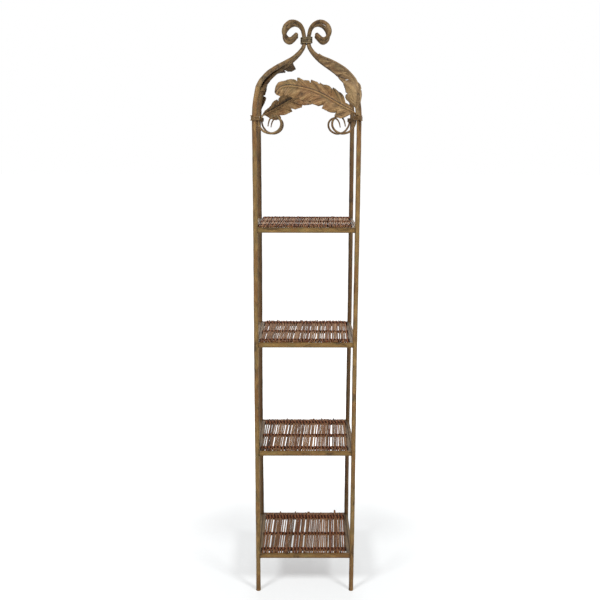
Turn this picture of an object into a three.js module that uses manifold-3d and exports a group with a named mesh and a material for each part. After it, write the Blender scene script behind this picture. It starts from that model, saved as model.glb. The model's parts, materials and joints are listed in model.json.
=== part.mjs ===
// Tall wrought-iron etagere: four posts, four wicker shelves and a crown of scrolls, leaves and tendrils.
// Millimetres, +Z up, the front faces -Y, origin on the floor at the middle of the plan.
import * as THREE from 'three';
import { mergeVertices } from 'three/addons/utils/BufferGeometryUtils.js';
import Module from 'manifold-3d';

const wasm = await Module();
wasm.setup();

// Driving dimensions of the frame
const postSpanX = 330;
const postSpanY = 304;
const postRadius = 7.7;
const footRadius = 8.6;
const footHeight = 7;
const postEndRadius = 8.7;
const postEndHeight = 11;
const lowestShelfHeight = 143;
const shelfSpacing = 384.5;
const shelfCount = 4;
const topBayHeight = 345.5;
const railHeight = 17;
const railWidth = 10;
const seatGap = 0.3;
const overrun = 6;

// Driving dimensions of a wicker mat
const twigPitch = 6;
const twigCount = 50;
const twigThick = 5;
const twigJoin = 1.2;
const groupTwigs = 5;
const slotShare = 0.66;
const slotLanding = 1;
const matFrontLap = 8;
const matBackLap = 4;
const bindingWidth = 11;
const bindingWall = 2.2;

// Driving dimensions of the crown
const jointHeight = 96;
const collarHeight = 155;
const postLean = 16.8;
const collarReach = 10.8;
const barRadius = 7;
const scrollReach = 88.7;
const scrollRise = 53.5;
const collarWire = 4.7;
const collarPitch = 5.2;
const collarLoops = 4;
const tieWire = 3.8;
const tiePitch = 4.4;
const tieLoops = 3;
const tieTail = 6;
const stemRadius = 3.1;
const tendrilReach = 73;
const tendrilDrop = 47;

// Driving dimensions of the leaves
const leafThickness = 1.7;
const archLength = 250;
const archRise = 97;
const archStand = 7;
const archUpperWidth = 58;
const archLowerWidth = 60;
const archVeinSweep = 0.25;
const archUpperLean = 47;
const archLowerHang = 11;
const sheathRide = 12.4;
const sheathFrontWidth = 45;
const sheathRearWidth = 33;
const sheathVeinSweep = 0.2;
const sheathBaseTurn = 70;
const sheathFrontDroop = { base: 30, tip: 48 };
const sheathRearDroop = { base: 20, tip: 45 };

// Facets
const postSides = 12;
const barSides = 8;
const barSteps = 38;
const stemSides = 6;
const stemSteps = 12;
const tendrilSteps = 26;
const loopSteps = 20;
const wireSides = 6;
const leafStrips = 4;

// Levels above the floor, each from the one below it
const tieLevel = lowestShelfHeight + (shelfCount - 1) * shelfSpacing + topBayHeight;
const jointLevel = tieLevel + jointHeight;
const collarLevel = jointLevel + collarHeight;

const postReach = Math.hypot(postSpanX, postSpanY) / 2;
const rodSeat = postRadius + stemRadius + seatGap;

const iron = new THREE.Color(0x8c7046);
const leafIron = new THREE.Color(0x96785a);
const wireIron = new THREE.Color(0x7f7355);
const twigBark = new THREE.Color(0x8f5c48);
const weftBark = new THREE.Color(0x5e2a1c);

function metal(color, roughness) {
  return new THREE.MeshStandardMaterial({ color, roughness, metalness: 0.6 });
}

function bark(color) {
  return new THREE.MeshStandardMaterial({ color, roughness: 0.8, metalness: 0 });
}

function bare(geometry) {
  const plain = geometry.clone();
  for (const name of Object.keys(plain.attributes)) {
    if (name !== 'position') plain.deleteAttribute(name);
  }
  return mergeVertices(plain);
}

function toSolid(geometry) {
  const merged = bare(geometry);
  return new wasm.Manifold(new wasm.Mesh({
    numProp: 3,
    vertProperties: new Float32Array(merged.attributes.position.array),
    triVerts: new Uint32Array(merged.index.array),
  }));
}

function toGeometry(solid) {
  const mesh = solid.getMesh();
  const geometry = new THREE.BufferGeometry();
  geometry.setAttribute('position', new THREE.BufferAttribute(new Float32Array(mesh.vertProperties), 3));
  geometry.setIndex(new THREE.BufferAttribute(new Uint32Array(mesh.triVerts), 1));
  return geometry;
}

function join(...geometries) {
  let solid = toSolid(geometries[0]);
  for (const geometry of geometries.slice(1)) solid = solid.add(toSolid(geometry));
  return toGeometry(solid);
}

function roundSection(radius, sides) {
  const section = new THREE.Shape();
  for (let side = 0; side < sides; side += 1) {
    const angle = (2 * Math.PI * side) / sides;
    const x = radius * Math.cos(angle);
    const y = radius * Math.sin(angle);
    if (side === 0) section.moveTo(x, y);
    else section.lineTo(x, y);
  }
  section.closePath();
  return section;
}

function tube(points, radius, sides, steps) {
  const path = new THREE.CatmullRomCurve3(points, false, 'centripetal');
  return new THREE.ExtrudeGeometry(roundSection(radius, sides), { steps, extrudePath: path });
}

const etagere = new THREE.Group();

function named(name, geometry, material, parent = etagere) {
  const mesh = new THREE.Mesh(geometry, material);
  mesh.name = name;
  parent.add(mesh);
  return mesh;
}

// Each corner has a group turned so that its own +X points from the middle of the plan to the post.
const corners = [
  { name: 'front_left', x: -1, y: -1 },
  { name: 'front_right', x: 1, y: -1 },
  { name: 'back_right', x: 1, y: 1 },
  { name: 'back_left', x: -1, y: 1 },
];

function cornerGroup(corner) {
  const group = new THREE.Group();
  group.rotation.z = Math.atan2(corner.y * postSpanY, corner.x * postSpanX);
  etagere.add(group);
  return group;
}

// How far a post's centre has leaned in at a level above the wire ties
function leanAt(level) {
  const climbed = Math.max(0, level - tieLevel) / (jointLevel - tieLevel);
  return postLean * climbed * climbed;
}

// Posts: straight to the wire tie, then leaning in to the joint with the crown bar
function postGeometry() {
  const top = jointLevel - seatGap / 2;
  const profile = [
    [0, 0],
    [footRadius, 0],
    [footRadius, footHeight / 2],
    [postRadius, footHeight],
    [postRadius, tieLevel],
    [postRadius, THREE.MathUtils.lerp(tieLevel, jointLevel, 0.35)],
    [postRadius, THREE.MathUtils.lerp(tieLevel, jointLevel, 0.65)],
    [postRadius, top - postEndHeight],
    [postEndRadius, top - postEndHeight / 2],
    [postEndRadius, top],
    [0, top],
  ].map(([radius, level]) => new THREE.Vector2(radius, level));
  const geometry = new THREE.LatheGeometry(profile, postSides);
  geometry.rotateX(Math.PI / 2);
  const position = geometry.attributes.position;
  for (let i = 0; i < position.count; i += 1) {
    position.setX(i, position.getX(i) + postReach - leanAt(position.getZ(i)));
  }
  return geometry;
}

// Crown bar: shares of the way from the collar to the post joint, and of the way up from it
const sweepShares = [
  [1, 0], [0.951, 0.103], [0.82, 0.258], [0.671, 0.374], [0.418, 0.519], [0.266, 0.606],
  [0.142, 0.706], [0.065, 0.785], [0.013, 0.865], [0, 0.905], [0, 1],
];
// Its scroll: shares of the scroll's reach and rise past the collar
const scrollShares = [
  [0, 0.24], [0.03, 0.43], [0.09, 0.673], [0.216, 0.873], [0.386, 0.981], [0.56, 1], [0.724, 0.935],
  [0.857, 0.804], [0.961, 0.617], [1, 0.402], [0.977, 0.234], [0.91, 0.093], [0.814, 0], [0.716, -0.028],
  [0.617, 0.013], [0.52, 0.12], [0.351, 0.32],
];

function sweepPoints() {
  const foot = postReach - postLean;
  const rise = collarLevel - jointLevel;
  return sweepShares.map(([out, up]) => new THREE.Vector3(
    collarReach + out * (foot - collarReach), 0, jointLevel + seatGap / 2 + up * (rise - seatGap / 2)));
}

// The foot of the bar is cut level, so that it stands on the flat top of the post
function crownBarGeometry() {
  const sweep = sweepPoints();
  const scroll = scrollShares.map(([out, up]) => new THREE.Vector3(
    collarReach + out * scrollReach, 0, collarLevel + up * scrollRise));
  const start = sweep[0].clone().add(sweep[0].clone().sub(sweep[1]).setLength(barRadius));
  const bar = tube([start, ...sweep, ...scroll], barRadius, barSides, barSteps);
  const below = new THREE.BoxGeometry(postEndHeight * 4, postEndHeight * 4, postEndHeight * 4);
  below.translate(sweep[0].x, 0, sweep[0].z - postEndHeight * 2);
  return toGeometry(toSolid(bar).subtract(toSolid(below)));
}

// A winding drawn tight round parallel rods: the rods are circles [x, y, radius] in plan
function windingPoint(rods, turn, wireRadius) {
  const angle = 2 * Math.PI * turn;
  const way = new THREE.Vector2(Math.cos(angle), Math.sin(angle));
  let best = null;
  for (const [x, y, radius] of rods) {
    const reach = x * way.x + y * way.y + radius;
    if (!best || reach > best.reach) best = { x, y, radius, reach };
  }
  const stand = best.radius + wireRadius + seatGap;
  return new THREE.Vector2(best.x + stand * way.x, best.y + stand * way.y);
}

function windingPoints(rods, wire, pitch, loops, startTurn, level) {
  const points = [];
  const total = loops * loopSteps;
  for (let step = 0; step <= total; step += 1) {
    const turn = step / loopSteps;
    const plan = windingPoint(rods, startTurn + turn, wire / 2);
    points.push(new THREE.Vector3(plan.x, plan.y, level + pitch * (turn - loops / 2)));
  }
  return points;
}

// The least gap between stretches of the wire that are a quarter turn or more apart along it
function reportSelfGap(name, points, wire) {
  let least = Infinity;
  for (let i = 0; i < points.length; i += 1) {
    for (let j = i + loopSteps / 4; j < points.length; j += 1) {
      least = Math.min(least, points[i].distanceTo(points[j]) - wire);
    }
  }
  console.log(`${name}: least gap of the wire to itself ${least.toFixed(2)} mm`);
}

// Both ends of a winding stand straight out of it, so it reads as a twisted-off wire
function windingGeometry(name, rods, wire, pitch, loops, startTurn, level, tail) {
  const points = windingPoints(rods, wire, pitch, loops, startTurn, level);
  reportSelfGap(name, points, wire);
  const angle = 2 * Math.PI * startTurn;
  const out = new THREE.Vector3(Math.cos(angle), Math.sin(angle), 0);
  const first = points[0].clone().addScaledVector(out, tail);
  const last = points[points.length - 1].clone().addScaledVector(out, tail);
  const path = new THREE.CatmullRomCurve3([first, ...points, last], false, 'centripetal');
  const steps = loops * loopSteps + loopSteps / 4;
  return new THREE.ExtrudeGeometry(roundSection(wire / 2, wireSides), { steps, extrudePath: path });
}

function cornerFrame(corner) {
  const angle = Math.atan2(corner.y * postSpanY, corner.x * postSpanX);
  const out = new THREE.Vector2(Math.cos(angle), Math.sin(angle));
  return { angle, out, post: new THREE.Vector2((corner.x * postSpanX) / 2, (corner.y * postSpanY) / 2) };
}

// A corner with leaves is one whose x and y have opposite signs: front right and back left
function hasLeaves(corner) {
  return corner.x * corner.y < 0;
}

function tieRods(corner) {
  const { post } = cornerFrame(corner);
  const rods = [
    [post.x, post.y, postRadius],
    [post.x - corner.x * rodSeat, post.y, stemRadius],
  ];
  if (hasLeaves(corner)) rods.push([post.x, post.y + corner.y * rodSeat, stemRadius]);
  return rods;
}

// Tendril: shares of its reach along the face, inward from its rod, and of its drop below the tie
const tendrilShares = [
  [0, 0], [0, 0.2], [0.02, 0.38], [0.09, 0.6], [0.23, 0.85], [0.405, 0.97], [0.6, 1], [0.775, 0.915],
  [0.925, 0.725], [1, 0.47], [0.993, 0.21], [0.91, 0], [0.775, -0.127], [0.625, -0.095], [0.515, 0.085], [0.46, 0.32],
  [0.433, 0.55],
];

function tendrilGeometry(corner) {
  const { post } = cornerFrame(corner);
  const points = tendrilShares.map(([inward, down]) => new THREE.Vector3(
    post.x - corner.x * (rodSeat + inward * tendrilReach), post.y,
    tieLevel - seatGap / 2 - down * tendrilDrop));
  return tube(points, stemRadius, stemSides, tendrilSteps);
}

// Leaf halves: shares of the way along the blade, and of the half's greatest width
const archUpperShares = [
  [0, 0.14], [0.03, 0.36], [0.06, 0.42], [0.08, 0.36], [0.12, 0.72], [0.16, 0.98], [0.2, 0.95], [0.27, 0.88],
  [0.292, 0.55], [0.32, 0.83], [0.4, 0.83], [0.445, 0.66], [0.465, 0.74], [0.52, 0.74], [0.54, 0.52],
  [0.56, 0.71], [0.68, 0.69], [0.7, 0.45], [0.735, 0.55], [0.81, 0.47],
  [0.89, 0.38], [0.975, 0.16], [1, 0.02],
];
const archLowerShares = [
  [0, 0.07], [0.045, 0.63], [0.1, 0.67], [0.13, 0.45], [0.18, 0.62], [0.27, 0.6], [0.3, 0.43], [0.34, 0.63],
  [0.435, 0.68], [0.46, 0.52], [0.5, 0.62], [0.6, 0.66], [0.63, 0.52], [0.69, 0.64],
  [0.78, 0.45], [0.98, 0.17], [1, 0.02],
];
const sheathRearShares = [
  [0, 0.15], [0.05, 0.52], [0.12, 0.79], [0.17, 0.7], [0.22, 0.76], [0.26, 1], [0.3, 0.61], [0.36, 0.91],
  [0.44, 0.94], [0.48, 0.64], [0.55, 0.88], [0.63, 0.85], [0.67, 0.58], [0.74, 0.76], [0.82, 0.67],
  [0.9, 0.42], [1, 0.06],
];
const rightFrontShares = [
  [0, 0.13], [0.03, 0.76], [0.06, 0.93], [0.1, 0.98], [0.15, 0.82], [0.2, 0.84], [0.27, 0.96], [0.38, 1],
  [0.53, 0.89], [0.68, 0.78], [0.81, 0.66], [0.9, 0.5], [0.96, 0.28], [1, 0.04],
];
const leftFrontShares = [
  [0, 0.09], [0.08, 0.4], [0.15, 0.49], [0.18, 0.27], [0.26, 0.49], [0.35, 0.27], [0.42, 0.38], [0.54, 0.33],
  [0.59, 0.4], [0.66, 0.69], [0.7, 0.58], [0.75, 0.91], [0.84, 0.91], [0.88, 0.47], [0.92, 0.22], [1, 0.04],
];

function shareAt(shares, along) {
  const next = Math.max(1, shares.findIndex(([at]) => at >= along));
  const [fromAt, fromShare] = shares[next - 1];
  const [toAt, toShare] = shares[next];
  return THREE.MathUtils.lerp(fromShare, toShare, (along - fromAt) / (toAt - fromAt));
}

// A thin sheet on a spine, with a vertex at each change of either margin. A station has a centre, a way
// along the spine and a way out for each half; the veins sweep toward the tip.
function bladeGeometry(stationAt, leftHalf, rightHalf, sweep) {
  const both = [...leftHalf.shares, ...rightHalf.shares].map(([along]) => along);
  const alongs = [...new Set(both)].sort((a, b) => a - b);
  const geometry = new THREE.BoxGeometry(1, 1, 1, alongs.length - 1, leafStrips, 1);
  const position = geometry.attributes.position;
  for (let i = 0; i < position.count; i += 1) {
    const along = alongs[Math.round((position.getX(i) + 1 / 2) * (alongs.length - 1))];
    const across = position.getY(i) * 2;
    const half = across > 0 ? leftHalf : rightHalf;
    const station = stationAt(along);
    const { left, right, way } = station;
    const reach = Math.abs(across) * half.width * shareAt(half.shares, along);
    const leftFace = new THREE.Vector3().crossVectors(way, left).normalize();
    const rightFace = new THREE.Vector3().crossVectors(right, way).normalize();
    const crease = Math.min(1, Math.abs(across) * leafStrips);
    const face = new THREE.Vector3().addVectors(leftFace, rightFace).normalize()
      .lerp(across > 0 ? leftFace : rightFace, crease).normalize();
    const point = station.centre.clone()
      .addScaledVector(across > 0 ? left : right, reach)
      .addScaledVector(way, sweep * reach)
      .addScaledVector(face, position.getZ(i) * leafThickness);
    position.setXYZ(i, point.x, point.y, point.z);
  }
  return geometry;
}

function degrees(angle) {
  return THREE.MathUtils.degToRad(angle);
}

function degreesBetween(angles, share) {
  return degrees(THREE.MathUtils.lerp(angles.base, angles.tip, share));
}

// Arch leaf over the front right corner: shares of its length from the tie inward, and of its rise
const archShares = [
  [0, 0], [0, 0.11], [0.022, 0.18], [0.07, 0.25], [0.14, 0.34], [0.25, 0.49], [0.38, 0.68], [0.53, 0.85],
  [0.685, 0.95], [0.85, 1], [0.95, 0.93], [1, 0.74],
];
const archStandShare = 0.07;
const archBladeShare = 0.1;
const archStemShare = 0.4;

function archSpine() {
  const startX = postSpanX / 2 - rodSeat;
  const frontY = -postSpanY / 2;
  return archShares.map(([inward, up]) => {
    const stand = archStand * Math.min(1, inward / archStandShare);
    return new THREE.Vector3(startX - inward * archLength, frontY - stand,
      tieLevel + seatGap / 2 + up * archRise);
  });
}

function archLeafGeometry() {
  const spine = new THREE.CatmullRomCurve3(archSpine(), false, 'centripetal');
  const forward = new THREE.Vector3(0, -1, 0);
  const lean = degrees(archUpperLean);
  const hang = degrees(archLowerHang);
  const stationAt = (along) => {
    const at = THREE.MathUtils.lerp(archBladeShare, 1, along);
    const way = spine.getTangentAt(at);
    const up = new THREE.Vector3().crossVectors(way, forward).normalize();
    const left = up.clone().multiplyScalar(Math.cos(lean)).addScaledVector(forward, -Math.sin(lean));
    const right = up.clone().multiplyScalar(-Math.cos(hang)).addScaledVector(forward, Math.sin(hang));
    return { centre: spine.getPointAt(at), way, left, right };
  };
  const upper = { width: archUpperWidth, shares: archUpperShares };
  const lower = { width: archLowerWidth, shares: archLowerShares };
  const stemPoints = [];
  for (let step = 0; step <= stemSteps; step += 1) {
    stemPoints.push(spine.getPointAt((archStemShare * step) / stemSteps));
  }
  return join(bladeGeometry(stationAt, upper, lower, archVeinSweep),
    tube(stemPoints, stemRadius, stemSides, stemSteps));
}

// Sheath leaf folded over the crown bar of the front right corner, in that corner's own frame: shares of the
// way from the tie to the joint where its ridge starts, and of the bar that the blade covers
const sheathStartShares = [0.36, 0.7];
const sheathBladeShare = 0.78;
const sheathTurnShare = 0.3;
const sheathStemShare = 0.35;

function sheathRidge() {
  const starts = sheathStartShares.map((share) => {
    const level = THREE.MathUtils.lerp(tieLevel, jointLevel, share);
    return new THREE.Vector3(postReach - leanAt(level), 0, level);
  });
  const bar = new THREE.CatmullRomCurve3([...starts, ...sweepPoints()], false, 'centripetal');
  const side = new THREE.Vector3(0, 1, 0);
  return (along) => {
    const at = along * sheathBladeShare;
    const way = bar.getTangentAt(at);
    const out = new THREE.Vector3().crossVectors(side, way).normalize();
    const turn = degrees(sheathBaseTurn) * Math.max(0, 1 - along / sheathTurnShare);
    const ride = out.multiplyScalar(Math.cos(turn)).addScaledVector(side, -Math.sin(turn));
    return { centre: bar.getPointAt(at).addScaledVector(ride, sheathRide), way, ride };
  };
}

function sheathLeafGeometry(frontShares) {
  const ridgeAt = sheathRidge();
  const stationAt = (along) => {
    const { centre, way, ride } = ridgeAt(along);
    const flat = new THREE.Vector3().crossVectors(way, ride).normalize();
    const rear = degreesBetween(sheathRearDroop, along);
    const front = degreesBetween(sheathFrontDroop, along);
    const left = flat.clone().multiplyScalar(Math.cos(rear)).addScaledVector(ride, -Math.sin(rear));
    const right = flat.clone().multiplyScalar(-Math.cos(front)).addScaledVector(ride, -Math.sin(front));
    return { centre, way, left, right };
  };
  const rearHalf = { width: sheathRearWidth, shares: sheathRearShares };
  const frontHalf = { width: sheathFrontWidth, shares: frontShares };
  const { angle, post } = cornerFrame(corners[1]);
  const foot = new THREE.Vector3(post.x, post.y - rodSeat, tieLevel + seatGap / 2);
  foot.applyAxisAngle(new THREE.Vector3(0, 0, 1), -angle);
  const stemPoints = [foot, foot.clone().setZ(tieLevel + (tieLoops * tiePitch) / 2)];
  for (let step = 0; step <= stemSteps / 3; step += 1) {
    stemPoints.push(ridgeAt((sheathStemShare * step * 3) / stemSteps).centre);
  }
  return join(bladeGeometry(stationAt, rearHalf, frontHalf, sheathVeinSweep),
    tube(stemPoints, stemRadius, stemSides, stemSteps));
}

// Shelf frame: each rail is coped to the two posts that it runs between
function copedRail(length, alongX) {
  const box = alongX ? new THREE.BoxGeometry(length, railWidth, railHeight)
    : new THREE.BoxGeometry(railWidth, length, railHeight);
  let solid = toSolid(box);
  for (const end of [-1, 1]) {
    const post = new THREE.CylinderGeometry(postRadius + seatGap, postRadius + seatGap,
      railHeight + 2 * overrun, postSides);
    post.rotateX(Math.PI / 2);
    post.rotateZ(-Math.PI / 2);
    post.translate(alongX ? (end * length) / 2 : 0, alongX ? 0 : (end * length) / 2, 0);
    solid = solid.subtract(toSolid(post));
  }
  return toGeometry(solid);
}

function addRails(shelf, level) {
  const middle = level - railHeight / 2;
  const front = named(`shelf_${shelf}_front_rail`, copedRail(postSpanX, true), metal(iron, 0.55));
  front.position.set(0, -postSpanY / 2, middle);
  const back = named(`shelf_${shelf}_back_rail`, copedRail(postSpanX, true), metal(iron, 0.55));
  back.position.set(0, postSpanY / 2, middle);
  const left = named(`shelf_${shelf}_left_rail`, copedRail(postSpanY, false), metal(iron, 0.55));
  left.position.set(-postSpanX / 2, 0, middle);
  const right = named(`shelf_${shelf}_right_rail`, copedRail(postSpanY, false), metal(iron, 0.55));
  right.position.set(postSpanX / 2, 0, middle);
}

// Bindings: three woven bands round all the twigs; shares of the depth between the posts' centres
const frontBindingShare = -0.43;
const middleBindingShare = -0.06;
const backBindingShare = 0.345;

// Wicker mat: twigs laid side by side from the front rail to the back rail, joined where they touch.
// Between the bindings a slot parts each group of twigs from the next.
const matWidth = (twigCount - 1) * twigPitch + twigThick;

function matGeometry() {
  const outline = new THREE.Shape();
  outline.moveTo(-matWidth / 2, 0);
  for (const face of [1, -1]) {
    for (let i = 0; i < twigCount; i += 1) {
      const x = face * (i - (twigCount - 1) / 2) * twigPitch;
      if (i > 0) outline.lineTo(x - (face * twigPitch) / 2, (face * twigJoin) / 2);
      outline.lineTo(x, (face * twigThick) / 2);
    }
    if (face > 0) outline.lineTo(matWidth / 2, 0);
  }
  outline.closePath();
  const depth = postSpanY + matFrontLap + matBackLap - railWidth;
  const geometry = new THREE.ExtrudeGeometry(outline, { depth, bevelEnabled: false });
  geometry.rotateX(Math.PI / 2);
  geometry.translate(0, postSpanY / 2 + matBackLap - railWidth / 2, 0);
  let solid = toSolid(geometry);
  for (const [nearShare, farShare] of [
    [frontBindingShare, middleBindingShare],
    [middleBindingShare, backBindingShare],
  ]) {
    const near = nearShare * postSpanY + bindingWidth / 2 + slotLanding;
    const far = farShare * postSpanY - bindingWidth / 2 - slotLanding;
    for (let twig = groupTwigs; twig < twigCount; twig += groupTwigs) {
      const slot = new THREE.BoxGeometry(slotShare * twigPitch, far - near, twigThick + 2 * overrun);
      slot.translate((twig - twigCount / 2) * twigPitch, (near + far) / 2, 0);
      solid = solid.subtract(toSolid(slot));
    }
  }
  return toGeometry(solid);
}

function bindingGeometry() {
  const hollowWidth = matWidth + 2 * seatGap;
  const hollowHeight = twigThick + 2 * seatGap;
  const outer = new THREE.BoxGeometry(hollowWidth + 2 * bindingWall, bindingWidth,
    hollowHeight + 2 * bindingWall);
  const inner = new THREE.BoxGeometry(hollowWidth, bindingWidth + 2 * overrun, hollowHeight);
  return toGeometry(toSolid(outer).subtract(toSolid(inner)));
}

function addWicker(shelf, level) {
  const middle = level + seatGap + twigThick / 2;
  const mat = named(`shelf_${shelf}_mat`, matGeometry(), bark(twigBark));
  mat.position.z = middle;
  for (const [place, share] of [
    ['front', frontBindingShare],
    ['middle', middleBindingShare],
    ['back', backBindingShare],
  ]) {
    const band = named(`shelf_${shelf}_${place}_binding`, bindingGeometry(), bark(weftBark));
    band.position.set(0, share * postSpanY, middle);
  }
}

for (const corner of corners) {
  const group = cornerGroup(corner);
  named(`${corner.name}_post`, postGeometry(), metal(iron, 0.5), group);
  named(`${corner.name}_crown_bar`, crownBarGeometry(), metal(iron, 0.5), group);
  named(`${corner.name}_tendril`, tendrilGeometry(corner), metal(iron, 0.5));
  const outward = cornerFrame(corner).angle / (2 * Math.PI);
  const tie = windingGeometry(`${corner.name}_tie`, tieRods(corner), tieWire, tiePitch, tieLoops, outward,
    tieLevel, tieTail);
  named(`${corner.name}_tie_wire`, tie, metal(wireIron, 0.6));
}

const collarRods = corners.map((corner) => {
  const { out } = cornerFrame(corner);
  return [collarReach * out.x, collarReach * out.y, barRadius];
});
named('crown_collar_wire', windingGeometry('crown_collar', collarRods, collarWire, collarPitch, collarLoops,
  1 / 4, collarLevel, collarWire), metal(wireIron, 0.6));

for (const [archName, sheathName, frontShares, turn] of [
  ['front_arch_leaf', 'right_sheath_leaf', rightFrontShares, 0],
  ['back_arch_leaf', 'left_sheath_leaf', leftFrontShares, Math.PI],
]) {
  const half = new THREE.Group();
  half.rotation.z = turn;
  etagere.add(half);
  named(archName, archLeafGeometry(), metal(leafIron, 0.6), half);
  const turned = new THREE.Group();
  turned.rotation.z = cornerFrame(corners[1]).angle;
  half.add(turned);
  named(sheathName, sheathLeafGeometry(frontShares), metal(leafIron, 0.6), turned);
}

for (let index = 0; index < shelfCount; index += 1) {
  const shelf = shelfCount - index;
  const level = lowestShelfHeight + index * shelfSpacing;
  addRails(shelf, level);
  addWicker(shelf, level);
}

export default etagere;
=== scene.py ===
"""Etagere of forged iron posts with wicker shelves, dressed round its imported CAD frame.

All shapes are worked out in millimetres in the part's own frame (+Z up, the front faces -Y) and are
turned into metres when a mesh is made.
"""

from __future__ import annotations

import json
import logging
import math
import random
from dataclasses import dataclass, field
from enum import Enum

import bmesh
import bpy
import numpy as np
from mathutils import Matrix, Vector

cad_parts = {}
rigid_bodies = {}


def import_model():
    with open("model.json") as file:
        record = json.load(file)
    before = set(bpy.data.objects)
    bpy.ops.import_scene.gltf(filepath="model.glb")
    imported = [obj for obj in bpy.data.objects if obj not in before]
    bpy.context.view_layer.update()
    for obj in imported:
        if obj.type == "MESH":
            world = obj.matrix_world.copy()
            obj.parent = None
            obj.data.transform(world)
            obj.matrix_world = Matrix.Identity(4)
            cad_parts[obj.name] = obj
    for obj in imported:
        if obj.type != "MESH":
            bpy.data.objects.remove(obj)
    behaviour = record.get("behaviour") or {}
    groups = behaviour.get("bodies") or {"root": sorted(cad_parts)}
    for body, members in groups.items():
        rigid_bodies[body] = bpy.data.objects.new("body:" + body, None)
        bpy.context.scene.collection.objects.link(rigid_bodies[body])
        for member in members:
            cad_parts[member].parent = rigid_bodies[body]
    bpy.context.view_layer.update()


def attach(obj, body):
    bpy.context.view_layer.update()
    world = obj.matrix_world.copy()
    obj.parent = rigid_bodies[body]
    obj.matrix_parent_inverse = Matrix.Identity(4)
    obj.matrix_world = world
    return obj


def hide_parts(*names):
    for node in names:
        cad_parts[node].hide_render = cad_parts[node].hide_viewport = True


LOG = logging.getLogger("etagere")
MM = 0.001
ROOT = "root"
WHITE = (1.0, 1.0, 1.0, 1.0)
EVEN = (1.0, 1.0, 1.0)

Array = np.ndarray
Node = bpy.types.Node
Tree = bpy.types.NodeTree
Pairs = tuple[tuple[float, float], ...]
Triple = tuple[float, float, float]
Tone = tuple[float, float, float, float]
Faces = list[tuple[int, ...]]


class Slot(Enum):
    """The record's material slots."""

    IRON = "iron"
    LEAF = "leaf_iron"
    WIRE = "wire"
    TWIG = "twig_bark"
    WEFT = "weft_bark"


class TreeKind(Enum):
    """The two kinds of node group."""

    SHADER = "ShaderNodeTree"
    GEOMETRY = "GeometryNodeTree"


# Colours and node helpers


def linear(code: str) -> Tone:
    """The linear colour of a written one.

    Args:
        code: six hex digits, such as "8c7046".

    Returns:
        Linear red, green, blue and an alpha of 1.
    """
    parts = [int(code[i : i + 2], 16) / 255 for i in (0, 2, 4)]
    red, green, blue = (c / 12.92 if c <= 0.04045 else ((c + 0.055) / 1.055) ** 2.4 for c in parts)
    return red, green, blue, 1.0


class Out:
    """A node's output, which adds a Math node wherever it is reckoned with."""

    def __init__(self, weaver: Weaver, socket: bpy.types.NodeSocket) -> None:
        """Keeps its tree's weaver and the socket."""
        self.weaver = weaver
        self.socket = socket

    def __add__(self, other: float | Out) -> Out:
        """The sum of both."""
        return self.weaver.math("ADD", self, other)

    def __sub__(self, other: float | Out) -> Out:
        """The difference of both."""
        return self.weaver.math("SUBTRACT", self, other)

    def __rsub__(self, other: float) -> Out:
        """What a number leaves when this is taken from it."""
        return self.weaver.math("SUBTRACT", other, self)

    def __mul__(self, other: float | Out) -> Out:
        """The product of both."""
        return self.weaver.math("MULTIPLY", self, other)

    def __truediv__(self, other: float | Out) -> Out:
        """The quotient of both."""
        return self.weaver.math("DIVIDE", self, other)

    __radd__ = __add__
    __rmul__ = __mul__


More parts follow.
